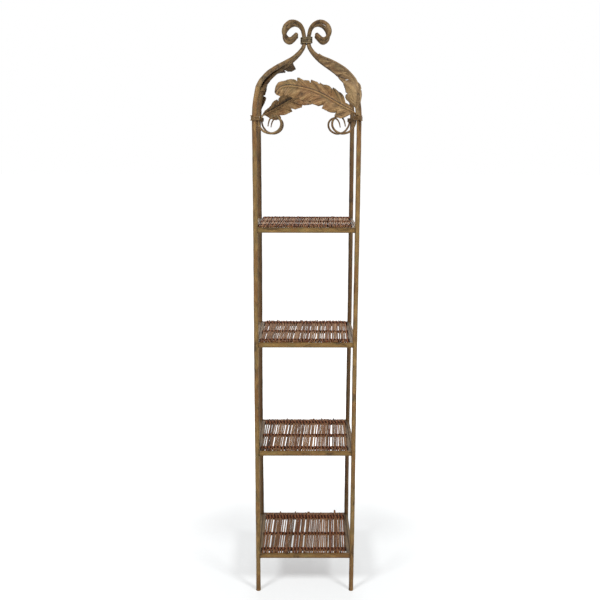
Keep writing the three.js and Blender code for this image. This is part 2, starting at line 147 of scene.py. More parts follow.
class Weaver:
    """Adds and links the nodes of one tree."""

    def __init__(self, tree: Tree) -> None:
        """Keeps the tree that nodes go into."""
        self.tree = tree

    def feed(self, value: object, target: bpy.types.NodeSocket) -> None:
        """Gives an input a link or a value.

        Args:
            value: an output to link, or a plain value.
            target: the input.
        """
        if isinstance(value, Out):
            self.tree.links.new(value.socket, target)
        else:
            target.default_value = value

    def add(self, kind: str, inputs: dict | None = None, **settings: object) -> Node:
        """Adds one node.

        Args:
            kind: the node's type name.
            inputs: a value or an output by input name or number.
            settings: properties of the node itself.

        Returns:
            The new node.
        """
        node = self.tree.nodes.new(kind)
        for name, value in settings.items():
            setattr(node, name, value)
        for key, value in (inputs or {}).items():
            self.feed(value, node.inputs[key])
        return node

    def out(self, kind: str, inputs: dict | None = None, which: int | str = 0, **settings: object) -> Out:
        """Adds one node and gives the output that is named or numbered by which."""
        return Out(self, self.add(kind, inputs, **settings).outputs[which])

    def math(self, operation: str, *values: float | Out) -> Out:
        """A Math node's result."""
        return self.out("ShaderNodeMath", dict(enumerate(values)), operation=operation)

    def vector(self, operation: str, first: object, second: object) -> Out:
        """A Vector Math node's vector; SCALE takes a vector and a number."""
        place = "Scale" if operation == "SCALE" else 1
        return self.out("ShaderNodeVectorMath", {0: first, place: second}, operation=operation)

    def xyz(self, x: float | Out = 0.0, y: float | Out = 0.0, z: float | Out = 0.0) -> Out:
        """A vector from its three parts."""
        return self.out("ShaderNodeCombineXYZ", {0: x, 1: y, 2: z})

    def noise(self, vector: Out, scale: float | Out, detail: float, roughness: float) -> Out:
        """A noise texture's value, from 0 to 1."""
        wanted = {"Vector": vector, "Scale": scale, "Detail": detail, "Roughness": roughness}
        return self.out("ShaderNodeTexNoise", wanted, "Fac")

    def band(self, value: Out, low: float | Out, high: float | Out) -> Out:
        """A smooth step of a value from 0 at low to 1 at high."""
        wanted = {"Value": value, "From Min": low, "From Max": high}
        return self.out("ShaderNodeMapRange", wanted, "Result", interpolation_type="SMOOTHSTEP")

    def mix(self, share: float | Out, first: object, second: object, blend: str = "MIX") -> Out:
        """A mix of two colours, with a share of the second."""
        wanted = {0: share, 6: first, 7: second}
        return self.out("ShaderNodeMix", wanted, 2, data_type="RGBA", blend_type=blend)

    def shaded(self, color: Out, shade: Out) -> Out:
        """A colour times a grey."""
        grey = self.out("ShaderNodeCombineColor", {0: shade, 1: shade, 2: shade})
        return self.mix(1.0, color, grey, "MULTIPLY")

    def mask(self, name: str) -> Out:
        """A mesh attribute's value in a material."""
        return self.out("ShaderNodeAttribute", which="Fac", attribute_name=name)

    def coat(self, shader: Node, paint: Node, bump: float, depth: float) -> None:
        """Feeds a shader with a paint group's outputs.

        Args:
            shader: the Principled BSDF.
            paint: the placed group.
            bump: the relief's strength.
            depth: the relief's depth in metres.
        """
        color, rough, height = (Out(self, paint.outputs[name]) for name in ("Color", "Roughness", "Height"))
        relief = self.out("ShaderNodeBump", {"Strength": bump, "Distance": depth, "Height": height})
        for value, label in ((color, "Base Color"), (rough, "Roughness"), (relief, "Normal")):
            self.feed(value, shader.inputs[label])

    def read(self, name: str) -> Out:
        """A named number of the geometry."""
        return self.out("GeometryNodeInputNamedAttribute", {"Name": name}, data_type="FLOAT")

    def store(self, geometry: Out, name: str, value: Out, domain: str = "POINT") -> Out:
        """The geometry with a number stored under a name."""
        wanted = {"Geometry": geometry, "Name": name, "Value": value}
        return self.out("GeometryNodeStoreNamedAttribute", wanted, data_type="FLOAT", domain=domain)

    def move(self, geometry: Out, offset: Out) -> Out:
        """The geometry moved by an offset."""
        return self.out("GeometryNodeSetPosition", {"Geometry": geometry, "Offset": offset})

    def draw(self, low: float, high: float, seed: Out, offset: int) -> Out:
        """A random number for each element, from low to high."""
        wanted = {2: low, 3: high, "ID": self.out("GeometryNodeInputIndex"), "Seed": seed + float(offset)}
        return self.out("FunctionNodeRandomValue", wanted, 1, data_type="FLOAT")

    def line(self, start: Out, end: Out, count: int) -> Out:
        """A straight curve of evenly placed points."""
        straight = self.out("GeometryNodeCurvePrimitiveLine", {"Start": start, "End": end})
        return self.out("GeometryNodeResampleCurve", {"Curve": straight, "Count": count})

    def sweep(self, curve: Out, sides: int | Out, girth: Out) -> Out:
        """Sweeps a round section along a curve and closes both ends.

        Args:
            curve: the curve.
            sides: sides of the section.
            girth: its half thickness along the curve.

        Returns:
            The swept mesh.
        """
        ring = self.out("GeometryNodeCurvePrimitiveCircle", {"Resolution": sides, "Radius": 1.0})
        wanted = {"Curve": curve, "Profile Curve": ring, "Scale": girth, "Fill Caps": True}
        return self.out("GeometryNodeCurveToMesh", wanted)

    def dented(self, geometry: Out, given: dict[str, Out]) -> Out:
        """Moves a surface in and out along its normals by a noise, as hammer blows do.

        Args:
            geometry: the surface.
            given: the tree's inputs, with Dent Depth and Dent Size.

        Returns:
            The dented surface.
        """
        place = self.out("GeometryNodeInputPosition")
        blows = self.noise(place, self.math("DIVIDE", 1.0, given["Dent Size"]), 2.0, 0.5)
        rise = (blows - 0.5) * (given["Dent Depth"] * 2.0)
        return self.move(geometry, self.vector("SCALE", self.out("GeometryNodeInputNormal"), rise))

    def finish(self, geometry: Out, given: dict[str, Out], leave: Node) -> Tree:
        """Ends a Geometry Nodes tree with smooth real geometry in its material.

        Args:
            geometry: what the tree has made.
            given: the tree's inputs, with Finish.
            leave: the tree's output node.

        Returns:
            The tree.
        """
        smooth = self.out("GeometryNodeSetShadeSmooth", {"Geometry": geometry})
        plain = self.out("GeometryNodeRealizeInstances", {"Geometry": smooth})
        painted = self.out("GeometryNodeSetMaterial", {"Geometry": plain, "Material": given["Finish"]})
        self.feed(painted, leave.inputs[0])
        return self.tree


def group_tree(name: str, kind: TreeKind, inputs: dict, outputs: dict) -> tuple[Weaver, dict[str, Out], Node]:
    """A new node group with named sockets.

    Args:
        name: the group's name.
        kind: whether it shades or makes shapes.
        inputs: the names of its inputs by socket type.
        outputs: the names of its outputs by socket type.

    Returns:
        The tree's weaver, its inputs by name, and the output node.
    """
    tree = bpy.data.node_groups.new(name, kind.value)
    for in_out, sockets in (("INPUT", inputs), ("OUTPUT", outputs)):
        for socket_type, labels in sockets.items():
            for label in labels:
                tree.interface.new_socket(label, in_out=in_out, socket_type=f"NodeSocket{socket_type}")
    weaver = Weaver(tree)
    entry = weaver.add("NodeGroupInput")
    given = {label: Out(weaver, entry.outputs[label]) for labels in inputs.values() for label in labels}
    return weaver, given, weaver.add("NodeGroupOutput")


# Finishes


PAINT_OUTPUTS = {"Color": ("Color",), "Float": ("Roughness", "Height")}


def patina_group() -> Tree:
    """The shared paint of the iron: blotches of dark and bright paint over a base colour, with painted shade
    and dirt and painted highlight and wear from two masks.

    Returns:
        The shader node group.
    """
    inputs = {
        "Vector": ("Vector", "Stretch"),
        "Color": ("Base", "Dark", "Bright", "Rust", "Cool"),
        "Float": ("Dark Level", "Bright Level", "Shade And Dirt", "Wear And Highlight"),
    }
    w, given, leave = group_tree("forged_patina", TreeKind.SHADER, inputs, PAINT_OUTPUTS)
    stretched = w.vector("MULTIPLY", given["Vector"], given["Stretch"])
    blotch = w.noise(stretched, 62.0, 5.0, 0.62)
    fleck = w.noise(stretched, 330.0, 4.0, 0.66)
    cloud = w.noise(w.vector("ADD", stretched, (3.1, 0.4, 1.9)), 95.0, 3.0, 0.55)
    grain = w.noise(given["Vector"], 950.0, 2.0, 0.6)
    tint = w.noise(stretched, 15.0, 3.0, 0.5)
    cool = w.noise(w.vector("ADD", given["Vector"], (0.7, 1.3, 2.1)), 38.0, 3.0, 0.55)
    color = given["Base"]
    # The last two masks add painted highlight and wear, and painted shade and dirt
    for mask, strength, label in (
        (w.band(tint, 0.44, 0.62), 0.7, "Rust"),
        (w.band(cool, 0.5, 0.66), 0.45, "Cool"),
        (w.band(blotch, given["Dark Level"], given["Dark Level"] + 0.14), 0.75, "Dark"),
        (w.band(cloud, 0.46, 0.7), 0.4, "Bright"),
        (w.band(fleck, given["Bright Level"], given["Bright Level"] + 0.2), 0.5, "Bright"),
        (given["Wear And Highlight"], 0.6, "Bright"),
        (given["Shade And Dirt"], 0.9, "Dark"),
    ):
        color = w.mix(mask * strength, color, given[label])
    w.feed(w.shaded(color, grain * 0.9 + 0.55), leave.inputs["Color"])
    w.feed(fleck * 0.4 + 0.36, leave.inputs["Roughness"])
    w.feed(blotch * 0.5 + fleck * 0.35 + grain * 0.15, leave.inputs["Height"])
    return w.tree


def bark_group() -> Tree:
    """The shared bark of twigs: streaks and dark nodes along a rod over a colour of its own, and a painted
    highlight on top.

    Returns:
        The shader node group.
    """
    inputs = {
        "Vector": ("Vector",),
        "Color": ("Color", "Knot Color", "Highlight Color"),
        "Float": ("Crest", "Tone", "Along"),
    }
    w, given, leave = group_tree("bark_streaks", TreeKind.SHADER, inputs, PAINT_OUTPUTS)
    streak = w.noise(w.vector("MULTIPLY", given["Vector"], (1.0, 0.06, 1.0)), 900.0, 3.0, 0.6)
    patch = w.noise(w.vector("MULTIPLY", given["Vector"], (1.0, 0.3, 1.0)), 160.0, 3.0, 0.6)
    knot = w.band(w.noise(w.xyz(given["Tone"] * 37.0, given["Along"] * 42.0), 1.0, 1.0, 0.5), 0.64, 0.7)
    color = w.shaded(given["Color"], streak * 1.1 + 0.42)
    color = w.mix(w.band(patch, 0.52, 0.68) * 0.55, color, given["Knot Color"])
    # Painted highlight on the tops of the twigs
    color = w.mix(given["Crest"] * w.band(streak, 0.3, 0.6), color, given["Highlight Color"])
    w.feed(w.mix(knot * 0.7, color, given["Knot Color"]), leave.inputs["Color"])
    w.feed(streak * 0.3 + 0.5, leave.inputs["Roughness"])
    w.feed(streak - knot * 0.8, leave.inputs["Height"])
    return w.tree


def bare_material(name: str) -> tuple[bpy.types.Material, Weaver, Node]:
    """A new material, its weaver and its shader.

    Args:
        name: the material's name.

    Returns:
        The material, the weaver of its tree and its Principled BSDF.
    """
    material = bpy.data.materials.new(name)
    material.use_nodes = True
    return material, Weaver(material.node_tree), material.node_tree.nodes["Principled BSDF"]


@dataclass(frozen=True)
class ForgedFinish:
    """A painted iron finish: five paints, how they stretch and spread, and the gloss."""

    name: str
    base: str
    dark: str
    bright: str
    rust: str
    cool: str
    stretch: Triple = (1.0, 1.0, 0.3)
    dark_level: float = 0.52
    bright_level: float = 0.55
    metallic: float = 0.12
    specular: float = 0.3
    bump: float = 0.55
    relief: float = 0.0012
    # Whether the paint reads the masks of painted shade and dirt and of painted highlight and wear
    uses_light_masks: bool = False

    def build(self, patina: Tree) -> bpy.types.Material:
        """Makes the material.

        Args:
            patina: the shared patina group.

        Returns:
            The material.
        """
        material, w, shader = bare_material(self.name)
        inputs = {
            "Vector": w.out("ShaderNodeTexCoord", which="Object"),
            "Stretch": self.stretch,
            "Base": linear(self.base),
            "Dark": linear(self.dark),
            "Bright": linear(self.bright),
            "Rust": linear(self.rust),
            "Cool": linear(self.cool),
            "Dark Level": self.dark_level,
            "Bright Level": self.bright_level,
        }
        # The masks bring painted shade and dirt, and painted highlight and wear
        if self.uses_light_masks:
            inputs |= {"Shade And Dirt": w.mask("shade_and_dirt"), "Wear And Highlight": w.mask("worn")}
        w.coat(shader, w.add("ShaderNodeGroup", inputs, node_tree=patina), self.bump, self.relief)
        shader.inputs["Metallic"].default_value = self.metallic
        shader.inputs["Specular IOR Level"].default_value = self.specular
        return material


@dataclass(frozen=True)
class BarkFinish:
    """A finish of twigs whose colour goes from rod to rod."""

    name: str
    tones: tuple[tuple[float, str], ...]
    knot: str
    # The colour of the painted highlight on the twigs' tops
    crest: str
    bump: float = 0.4
    specular: float = 0.2
    relief: float = 0.0006

    def build(self, bark: Tree) -> bpy.types.Material:
        """Makes the material.

        Args:
            bark: the shared bark group.

        Returns:
            The material.
        """
        material, w, shader = bare_material(self.name)
        inputs = {label: w.mask(label.lower()) for label in ("Tone", "Along", "Crest")}
        scale = w.add("ShaderNodeValToRGB", {"Fac": inputs["Tone"]})
        elements = scale.color_ramp.elements
        while len(elements) < len(self.tones):
            elements.new(1.0)
        for element, (place, code) in zip(elements, self.tones):
            element.position = place
            element.color = linear(code)
        inputs |= {
            "Vector": w.out("ShaderNodeTexCoord", which="Object"),
            "Color": Out(w, scale.outputs["Color"]),
            "Knot Color": linear(self.knot),
            "Highlight Color": linear(self.crest),
        }
        w.coat(shader, w.add("ShaderNodeGroup", inputs, node_tree=bark), self.bump, self.relief)
        shader.inputs["Specular IOR Level"].default_value = self.specular
        return material


RAIL_RUN = (0.3, 1.0, 1.0)
SIDE_RUN = (1.0, 0.3, 1.0)


class Iron(Enum):
    """The painted finishes by the pieces that wear them."""

    POST = ForgedFinish("post_iron", "735932", "2c1e0b", "a1824e", "694522", "5f5633")
    CROWN = ForgedFinish(
        "crown_iron", "664f31", "251808", "967a4e", "5e4122", "554d33", (1.0, 1.0, 0.6), 0.5, 0.56
    )
    # Painted shade: a darker copy of the post paint, for the back posts and the back tendrils
    SHADED_BACK_POST = ForgedFinish("shaded_back_post_iron", "5a4226", "201509", "7d6039", "53361c", "4d452b")
    FRONT_RAIL = ForgedFinish(
        "front_rail_iron", "74582e", "2c1d0a", "9c7d49", "694522", "605933", RAIL_RUN, uses_light_masks=True
    )
    # Painted shade: a darker copy of the front rail paint, for the back rails
    SHADED_BACK_RAIL = ForgedFinish(
        "shaded_back_rail_iron", "604125", "231609", "87633c", "5a341d", "53482c", RAIL_RUN, uses_light_masks=True
    )
    SIDE_RAIL = ForgedFinish(
        "side_rail_iron", "6c5538", "2c1d0d", "937b54", "63492d", "645a3e", SIDE_RUN, uses_light_masks=True
    )
    LEAF = ForgedFinish(
        "leaf_paint", "745835", "231809", "ac8b5e", "724c2b", "5f5a38", EVEN, 0.55, 0.56, 0.08, uses_light_masks=True
    )
    # Painted shade: darker copies of the leaf paint, for the front sheath and, darker still, the back one
    SHADED_SHEATH = ForgedFinish(
        "shaded_leaf_paint", "614a2d", "1b1107", "a68a61", "5d4124", "514b31",
        EVEN, 0.53, 0.55, 0.08, bump=0.6, uses_light_masks=True,
    )  # fmt: skip
    SHADE_LEAF = ForgedFinish(
        "leaf_paint_dark", "5a4325", "1a1106", "846840", "54371c", "4c462c",
        EVEN, 0.54, 0.58, 0.08, bump=0.5, uses_light_masks=True,
    )  # fmt: skip
    COLLAR = ForgedFinish("wire_iron", "6d5d43", "271c10", "94815f", "5d462d", "645e45", EVEN)
    TIE = ForgedFinish("tie_iron", "6a5131", "24180a", "91764d", "5f4226", "584f34", EVEN)
    # Painted shade: a darker copy of the tie paint, for the back ties
    SHADED_BACK_TIE = ForgedFinish("shaded_back_tie_iron", "4b3821", "1b1207", "6b5435", "473019", "413a26", EVEN)


class Bark(Enum):
    """The finishes of the wicker."""

    TWIG = BarkFinish(
        "willow_bark",
        (
            (0.0, "281308"), (0.14, "432412"), (0.32, "633c22"), (0.5, "72492b"), (0.66, "815938"),
            (0.8, "5e4026"), (0.9, "512510"), (1.0, "6d3217"),
        ),
        "1f0e06",
        "b9946c",
    )  # fmt: skip
    WEFT = BarkFinish(
        "weft_bark_skin",
        ((0.0, "0d0502"), (0.35, "221006"), (0.65, "552e1a"), (1.0, "875940")),
        "0f0502",
        "a8765a",
        0.6,
        0.08,
    )


# Paths and plain meshes


class Path:
    """A smooth curve through points, read by shares of its length."""

    PER_SPAN = 40
    TINY = 1e-4

    def __init__(self, points: Array | list[Array]) -> None:
        """Runs a centripetal Catmull-Rom curve through the points.

        Args:
            points: the points, in millimetres.
        """
        points = np.array(points)
        ends = [2 * points[0] - points[1], *points, 2 * points[-1] - points[-2]]
        pieces = [self._span(*ends[i : i + 4]) for i in range(len(points) - 1)]
        line = np.vstack([*pieces, points[-1:]])
        steps = np.linalg.norm(np.diff(line, axis=0), axis=1)
        keep = np.concatenate([[True], steps > 1e-6])
        self.line = line[keep]
        self.length_at = np.concatenate([[0.0], np.cumsum(steps[keep[1:]])])
        self.length = float(self.length_at[-1])

    @classmethod
    def _span(cls, before: Array, start: Array, end: Array, after: Array) -> Array:
        """The points of one span, without its last.

        Args:
            before: the point before the span.
            start: its first point.
            end: its last point.
            after: the point after it.

        Returns:
            The points.
        """
        gaps = [float(np.linalg.norm(b - a)) ** 0.5 for a, b in ((before, start), (start, end), (end, after))]
        middle = gaps[1] if gaps[1] > cls.TINY else 1.0
        first = gaps[0] if gaps[0] > cls.TINY else middle
        last = gaps[2] if gaps[2] > cls.TINY else middle
        lead = (start - before) / first - (end - before) / (first + middle) + (end - start) / middle
        trail = (end - start) / middle - (after - start) / (middle + last) + (after - end) / last
        lead, trail = lead * middle, trail * middle
        t = (np.arange(cls.PER_SPAN) / cls.PER_SPAN)[:, None]
        square = -3 * start + 3 * end - 2 * lead - trail
        cube = 2 * start - 2 * end + lead + trail
        return start + lead * t + square * t**2 + cube * t**3

    def at(self, shares: Array | float) -> Array:
        """Points at shares of the length."""
        goal = np.clip(np.asarray(shares, float), 0, 1) * self.length
        return np.stack([np.interp(goal, self.length_at, self.line[:, k]) for k in range(3)], axis=-1)

    def way(self, shares: Array | float) -> Array:
        """Unit ways along the curve at shares of the length."""
        low, high = (np.clip(np.asarray(shares) + step / self.length, 0, 1) for step in (-0.5, 0.5))
        return unit(self.at(high) - self.at(low))


def unit(vectors: Array) -> Array:
    """The vectors at a length of 1."""
    return vectors / np.maximum(np.linalg.norm(vectors, axis=-1, keepdims=True), 1e-12)


def turned(points: Array, angle: float) -> Array:
    """The points turned about the Z axis by an angle in radians."""
    c, s = math.cos(angle), math.sin(angle)
    return points @ np.array([[c, s, 0.0], [-s, c, 0.0], [0.0, 0.0, 1.0]])


def bell(distance: Array, width: float) -> Array:
    """1 where the distance is 0, falling off smoothly over the width."""
    return np.exp(-((distance / width) ** 2))


def ramp(value: Array, start: float, run: float) -> Array:
    """0 up to a start, then rising straight to 1 over a run."""
    return np.clip((value - start) / run, 0, 1)


def piece_object(name: str, mesh: bpy.types.Mesh) -> bpy.types.Object:
    """Puts a mesh in the scene as an object at the origin.

    Args:
        name: the object's name.
        mesh: its mesh.

    Returns:
        The object.
    """
    made = bpy.data.objects.new(name, mesh)
    bpy.context.scene.collection.objects.link(made)
    return made


def keep_numbers(mesh: bpy.types.Mesh, name: str, values: Array) -> None:
    """Stores a number for each point of a mesh under a name."""
    data = mesh.attributes.new(name, "FLOAT", "POINT").data
    data.foreach_set("value", values.ravel().astype(np.float32))


def closed_mesh(name: str, points: Array, faces: Faces, masks: dict[str, Array]) -> bpy.types.Mesh:
    """A closed mesh whose faces point outwards.

    Args:
        name: the mesh's name.
        points: its points, in millimetres.
        faces: its faces.
        masks: a number for each point, by attribute name.

    Returns:
        The mesh.
    """
    mesh = bpy.data.meshes.new(name)
    mesh.from_pydata((points * MM).tolist(), [], faces)
    for label, mask in masks.items():
        keep_numbers(mesh, label, mask)
    work = bmesh.new()
    work.from_mesh(mesh)
    bmesh.ops.recalc_face_normals(work, faces=work.faces[:])
    work.to_mesh(mesh)
    work.free()
    return mesh


def grid_faces(rows: int, columns: int, start: int = 0, closed: bool = False, flip: bool = False) -> Faces:
    """The quads of a grid of vertices.

    Args:
        rows: vertices along the grid.
        columns: vertices across it.
        start: the first vertex's number.
        closed: whether the last column joins the first.
        flip: whether the faces turn the other way.

    Returns:
        Four vertex numbers for each quad.
    """
    faces = []
    for row in range(start, start + (rows - 1) * columns, columns):
        for column in range(columns if closed else columns - 1):
            a, b = row + column, row + (column + 1) % columns
            quad = (a, a + columns, b + columns, b)
            faces.append(quad[::-1] if flip else quad)
    return faces


@dataclass
class Strand:
    """A rod to be swept: its line, its half thickness in millimetres, its tone, and its wear and painted
    highlight.
    """

    line: Array
    girth: Array
    tone: float = 0.5
    worn: float | Array = 0.0


def eased_ends(girth: Array, line: Array, bevel: float) -> Array:
    """Eases both ends of a rod, so that a cut end isn't razor sharp.

    Args:
        girth: the half thickness along the line.
        line: the rod's line.
        bevel: the length over which an end is eased.

    Returns:
        The new half thickness.
    """
    steps = np.concatenate([[0.0], np.cumsum(np.linalg.norm(np.diff(line, axis=0), axis=1))])
    share = np.clip(np.minimum(steps, steps[-1] - steps) / bevel, 0, 1)
    return girth * (0.72 + 0.28 * np.sqrt(1 - (1 - share) ** 2))


class Forge:
    """The Geometry Nodes trees that sweep, lay and twine the rods, and the finishes."""

    COMMON_GAP = 0.0036
    TWIG_POINTS = 26
    TWIG_SIDES = 9
    STRAND_POINTS = 401
    STRAND_SIDES = 7

    def __init__(self) -> None:
        """Builds every finish and tree once."""
        patina, bark = patina_group(), bark_group()
        self.paint = {iron: iron.value.build(patina) for iron in Iron}
        self.bark = {skin: skin.value.build(bark) for skin in Bark}
        self.rod_tree = self._rod_tree()
        self.dent_tree = self._dent_tree()
        self.mat_tree = self._mat_tree()
        self.twine_tree = self._twine_tree()

    @staticmethod
    def _rod_tree() -> Tree:
        """Sweeps a round section along every line, as thick as its girth says, and dents it.

        Returns:
            The tree.
        """
        dents = {"Int": ("Sides",), "Float": ("Dent Depth", "Dent Size"), "Material": ("Finish",)}
        inputs = {"Geometry": ("Lines",), **dents}
        w, given, leave = group_tree("swept_rods", TreeKind.GEOMETRY, inputs, {"Geometry": ("Rods",)})
        curve = w.out("GeometryNodeMeshToCurve", {"Mesh": given["Lines"]})
        return w.finish(w.dented(w.sweep(curve, given["Sides"], w.read("girth")), given), given, leave)

    @staticmethod
    def _dent_tree() -> Tree:
        """Dents a ready mesh.

        Returns:
            The tree.
        """
        inputs = {"Geometry": ("Skin",), "Float": ("Dent Depth", "Dent Size"), "Material": ("Finish",)}
        w, given, leave = group_tree("hammered_skin", TreeKind.GEOMETRY, inputs, {"Geometry": ("Skin",)})
        return w.finish(w.dented(given["Skin"], given), given, leave)

    @staticmethod
    def _mat_tree() -> Tree:
        """Lays twigs side by side: each with its own place, slant, girth, bend, ends and colour.

        Returns:
            The tree.
        """
        inputs = {
            "Int": ("Count", "Seed"),
            "Float": (
                "Pitch", "Start", "End", "Scatter", "Girth", "Gap",
                "Slant", "Bow", "Highlight Strength", "Calm", "Height",
            ),
            "Material": ("Finish",),
        }  # fmt: skip
        w, given, leave = group_tree("laid_twigs", TreeKind.GEOMETRY, inputs, {"Geometry": ("Twigs",)})
        seed, pitch = given["Seed"], given["Pitch"]
        last = given["Count"] - 1.0
        start = w.xyz(last * pitch * -0.5, 0.0, given["Height"])
        row = w.out(
            "GeometryNodeMeshLine", {"Count": given["Count"], "Start Location": start, "Offset": w.xyz(pitch)}
        )
        # Each twig lies against the last one, with a gap now and then; the row is then fitted to its width
        girth = w.draw(0.8, 1.16, seed, 8)
        chance = w.draw(0.0, 1.0, seed, 1)
        common = w.math("MAXIMUM", chance - given["Calm"], 0.0) * Forge.COMMON_GAP
        gap = common + w.math("POWER", chance, 14.0) * given["Gap"]
        own = girth * given["Girth"] * 2.0 + gap
        sums = w.add("GeometryNodeAccumulateField", {"Value": own}, data_type="FLOAT")
        share = Out(w, sums.outputs["Trailing"]) / Out(w, sums.outputs["Total"])
        wanted = (share - 0.5) * (given["Count"] * pitch)
        now = w.out("ShaderNodeSeparateXYZ", {0: w.out("GeometryNodeInputPosition")}, "X")
        middle = (given["Start"] + given["End"]) * 0.5
        shift = middle + w.draw(-1.0, 1.0, seed, 3) * (given["Scatter"] * 0.5)
        offset = w.xyz(wanted - now + given["Girth"], shift, w.draw(-0.0005, 0.0004, seed, 2))
        half = (given["End"] - given["Start"]) * 0.5
        stick = w.line(w.xyz(0.0, half * -1.0), w.xyz(0.0, half), Forge.TWIG_POINTS)
        across = w.out("GeometryNodeInputIndex") / last
        lean = given["Slant"] + w.draw(-0.0035, 0.0035, seed, 4) + across * (1.0 - across) * given["Bow"]
        stretch = 1.0 + w.draw(-1.0, 1.0, seed, 6) * 0.011
        wanted = {
            "Points": w.move(row, offset),
            "Instance": stick,
            "Rotation": w.xyz(w.draw(-0.003, 0.003, seed, 5), 0.0, lean),
            "Scale": w.xyz(1.0, stretch, 1.0),
        }
        laid = w.out("GeometryNodeInstanceOnPoints", wanted)
        laid = w.store(laid, "tone", w.draw(0.0, 1.0, seed, 7), "INSTANCE")
        laid = w.store(laid, "girth", girth, "INSTANCE")
        loose = w.out("GeometryNodeRealizeInstances", {"Geometry": laid})
        # A slow bend that differs from twig to twig
        tone = w.read("tone")
        share = w.out("GeometryNodeSplineParameter", which="Factor")
        spot = w.xyz(tone * 91.0, share * 2.6)
        sway = (w.noise(spot, 1.0, 2.0, 0.6) - 0.5) * 0.003
        bob = (w.noise(w.vector("ADD", spot, (0.0, 0.0, 17.0)), 1.0, 2.0, 0.6) - 0.5) * 0.0018
        bent = w.store(w.move(loose, w.xyz(sway, 0.0, bob)), "along", share)
        # Half of the twigs lie with their thin end to the front
        flipped = w.math("GREATER_THAN", w.math("FRACT", tone * 7.0), 0.5)
        taper = 1.04 - w.math("ABSOLUTE", share - flipped) * 0.13
        lumps = 0.94 + w.noise(w.vector("SCALE", spot, 9.0), 1.0, 1.0, 0.5) * 0.07
        swept = w.sweep(bent, Forge.TWIG_SIDES, given["Girth"] * w.read("girth") * (taper * lumps))
        # Painted highlight: the twigs are paler where they face up, some more than others
        upward = w.out("ShaderNodeSeparateXYZ", {0: w.out("GeometryNodeInputNormal")}, "Z")
        highlight_strength = 0.08 + w.math("FRACT", tone * 23.0) * given["Highlight Strength"]
        return w.finish(w.store(swept, "crest", w.band(upward, 0.62, 0.98) * highlight_strength), given, leave)

    @staticmethod
    def _twine_tree() -> Tree:
        """Twines pairs of strands over and under the twigs, row behind row.

        Returns:
            The tree.
        """
        inputs = {
            "Int": ("Rows", "Seed"),
            "Float": ("Row Gap", "Width", "Pitch", "Swing", "Girth"),
            "Vector": ("Centre",),
            "Material": ("Finish",),
        }
        w, given, leave = group_tree("twined_strands", TreeKind.GEOMETRY, inputs, {"Geometry": ("Strands",)})
        points = w.out("GeometryNodeMeshLine", {"Count": given["Rows"] * 2.0, "Offset": (0.0, 0.0, 0.0)})
        index = w.out("GeometryNodeInputIndex")
        row = w.math("FLOOR", index * 0.5)
        side = (row - (given["Rows"] - 1.0) * 0.5) * given["Row Gap"]
        half = given["Width"] * 0.5
        line = w.line(w.xyz(half * -1.0), w.xyz(half), Forge.STRAND_POINTS)
        points = w.move(points, w.xyz(0.0, side))
        laid = w.out("GeometryNodeInstanceOnPoints", {"Points": points, "Instance": line})
        laid = w.store(laid, "tone", w.draw(0.0, 1.0, given["Seed"], 1), "INSTANCE")
        laid = w.store(laid, "phase", w.math("MODULO", index, 2.0) * math.pi, "INSTANCE")
        laid = w.store(laid, "row", row, "INSTANCE")
        loose = w.out("GeometryNodeRealizeInstances", {"Geometry": laid})
        share = w.out("GeometryNodeSplineParameter", which="Factor")
        phase = w.read("phase")
        turn = share * given["Width"] / given["Pitch"] * math.pi + phase + w.read("row") * 0.25
        spot = w.xyz(share * 46.0, w.read("tone") * 53.0, given["Seed"] * 3.1)
        uneven = w.noise(spot, 1.0, 2.0, 0.6) - 0.5
        cosine = w.math("COSINE", turn)
        rise = cosine * (given["Swing"] * (1.0 + uneven * 0.5))
        wander = w.math("SINE", turn) * (given["Row Gap"] * 0.2) + uneven * 0.0022
        woven = w.move(loose, w.vector("ADD", w.xyz(0.0, wander, rise), given["Centre"]))
        # Of each pair one strand is dark, and both are darker with painted shade where they dip under a twig
        pale = w.math("GREATER_THAN", phase, 1.0)
        shade = pale * 0.45 + uneven * 0.5 + w.band(cosine, -0.4, 0.9) * 0.42
        woven = w.store(w.store(woven, "along", share), "tone", shade)
        strands = w.sweep(woven, Forge.STRAND_SIDES, given["Girth"] * (1.0 + uneven * 0.7))
        return w.finish(strands, given, leave)

    @staticmethod
    def settle(made: bpy.types.Object, tree: Tree, values: dict[str, object]) -> bpy.types.Object:
        """Runs a tree on an object and keeps the result as its plain mesh.

        Args:
            made: the object whose mesh goes in.
            tree: the Geometry Nodes tree.
            values: the tree's inputs by name.

        Returns:
            The same object with its new mesh and no modifier.
        """
        shaping = made.modifiers.new("shaping", "NODES")
        shaping.node_group = tree
        for item in tree.interface.items_tree:
            if item.item_type == "SOCKET" and item.in_out == "INPUT" and item.name in values:
                shaping[item.identifier] = values[item.name]
        graph = bpy.context.evaluated_depsgraph_get()
        mesh = bpy.data.meshes.new_from_object(made.evaluated_get(graph))
        made.modifiers.remove(shaping)
        spent = made.data
        made.data = mesh
        bpy.data.meshes.remove(spent)
        mesh.name = made.name
        return made

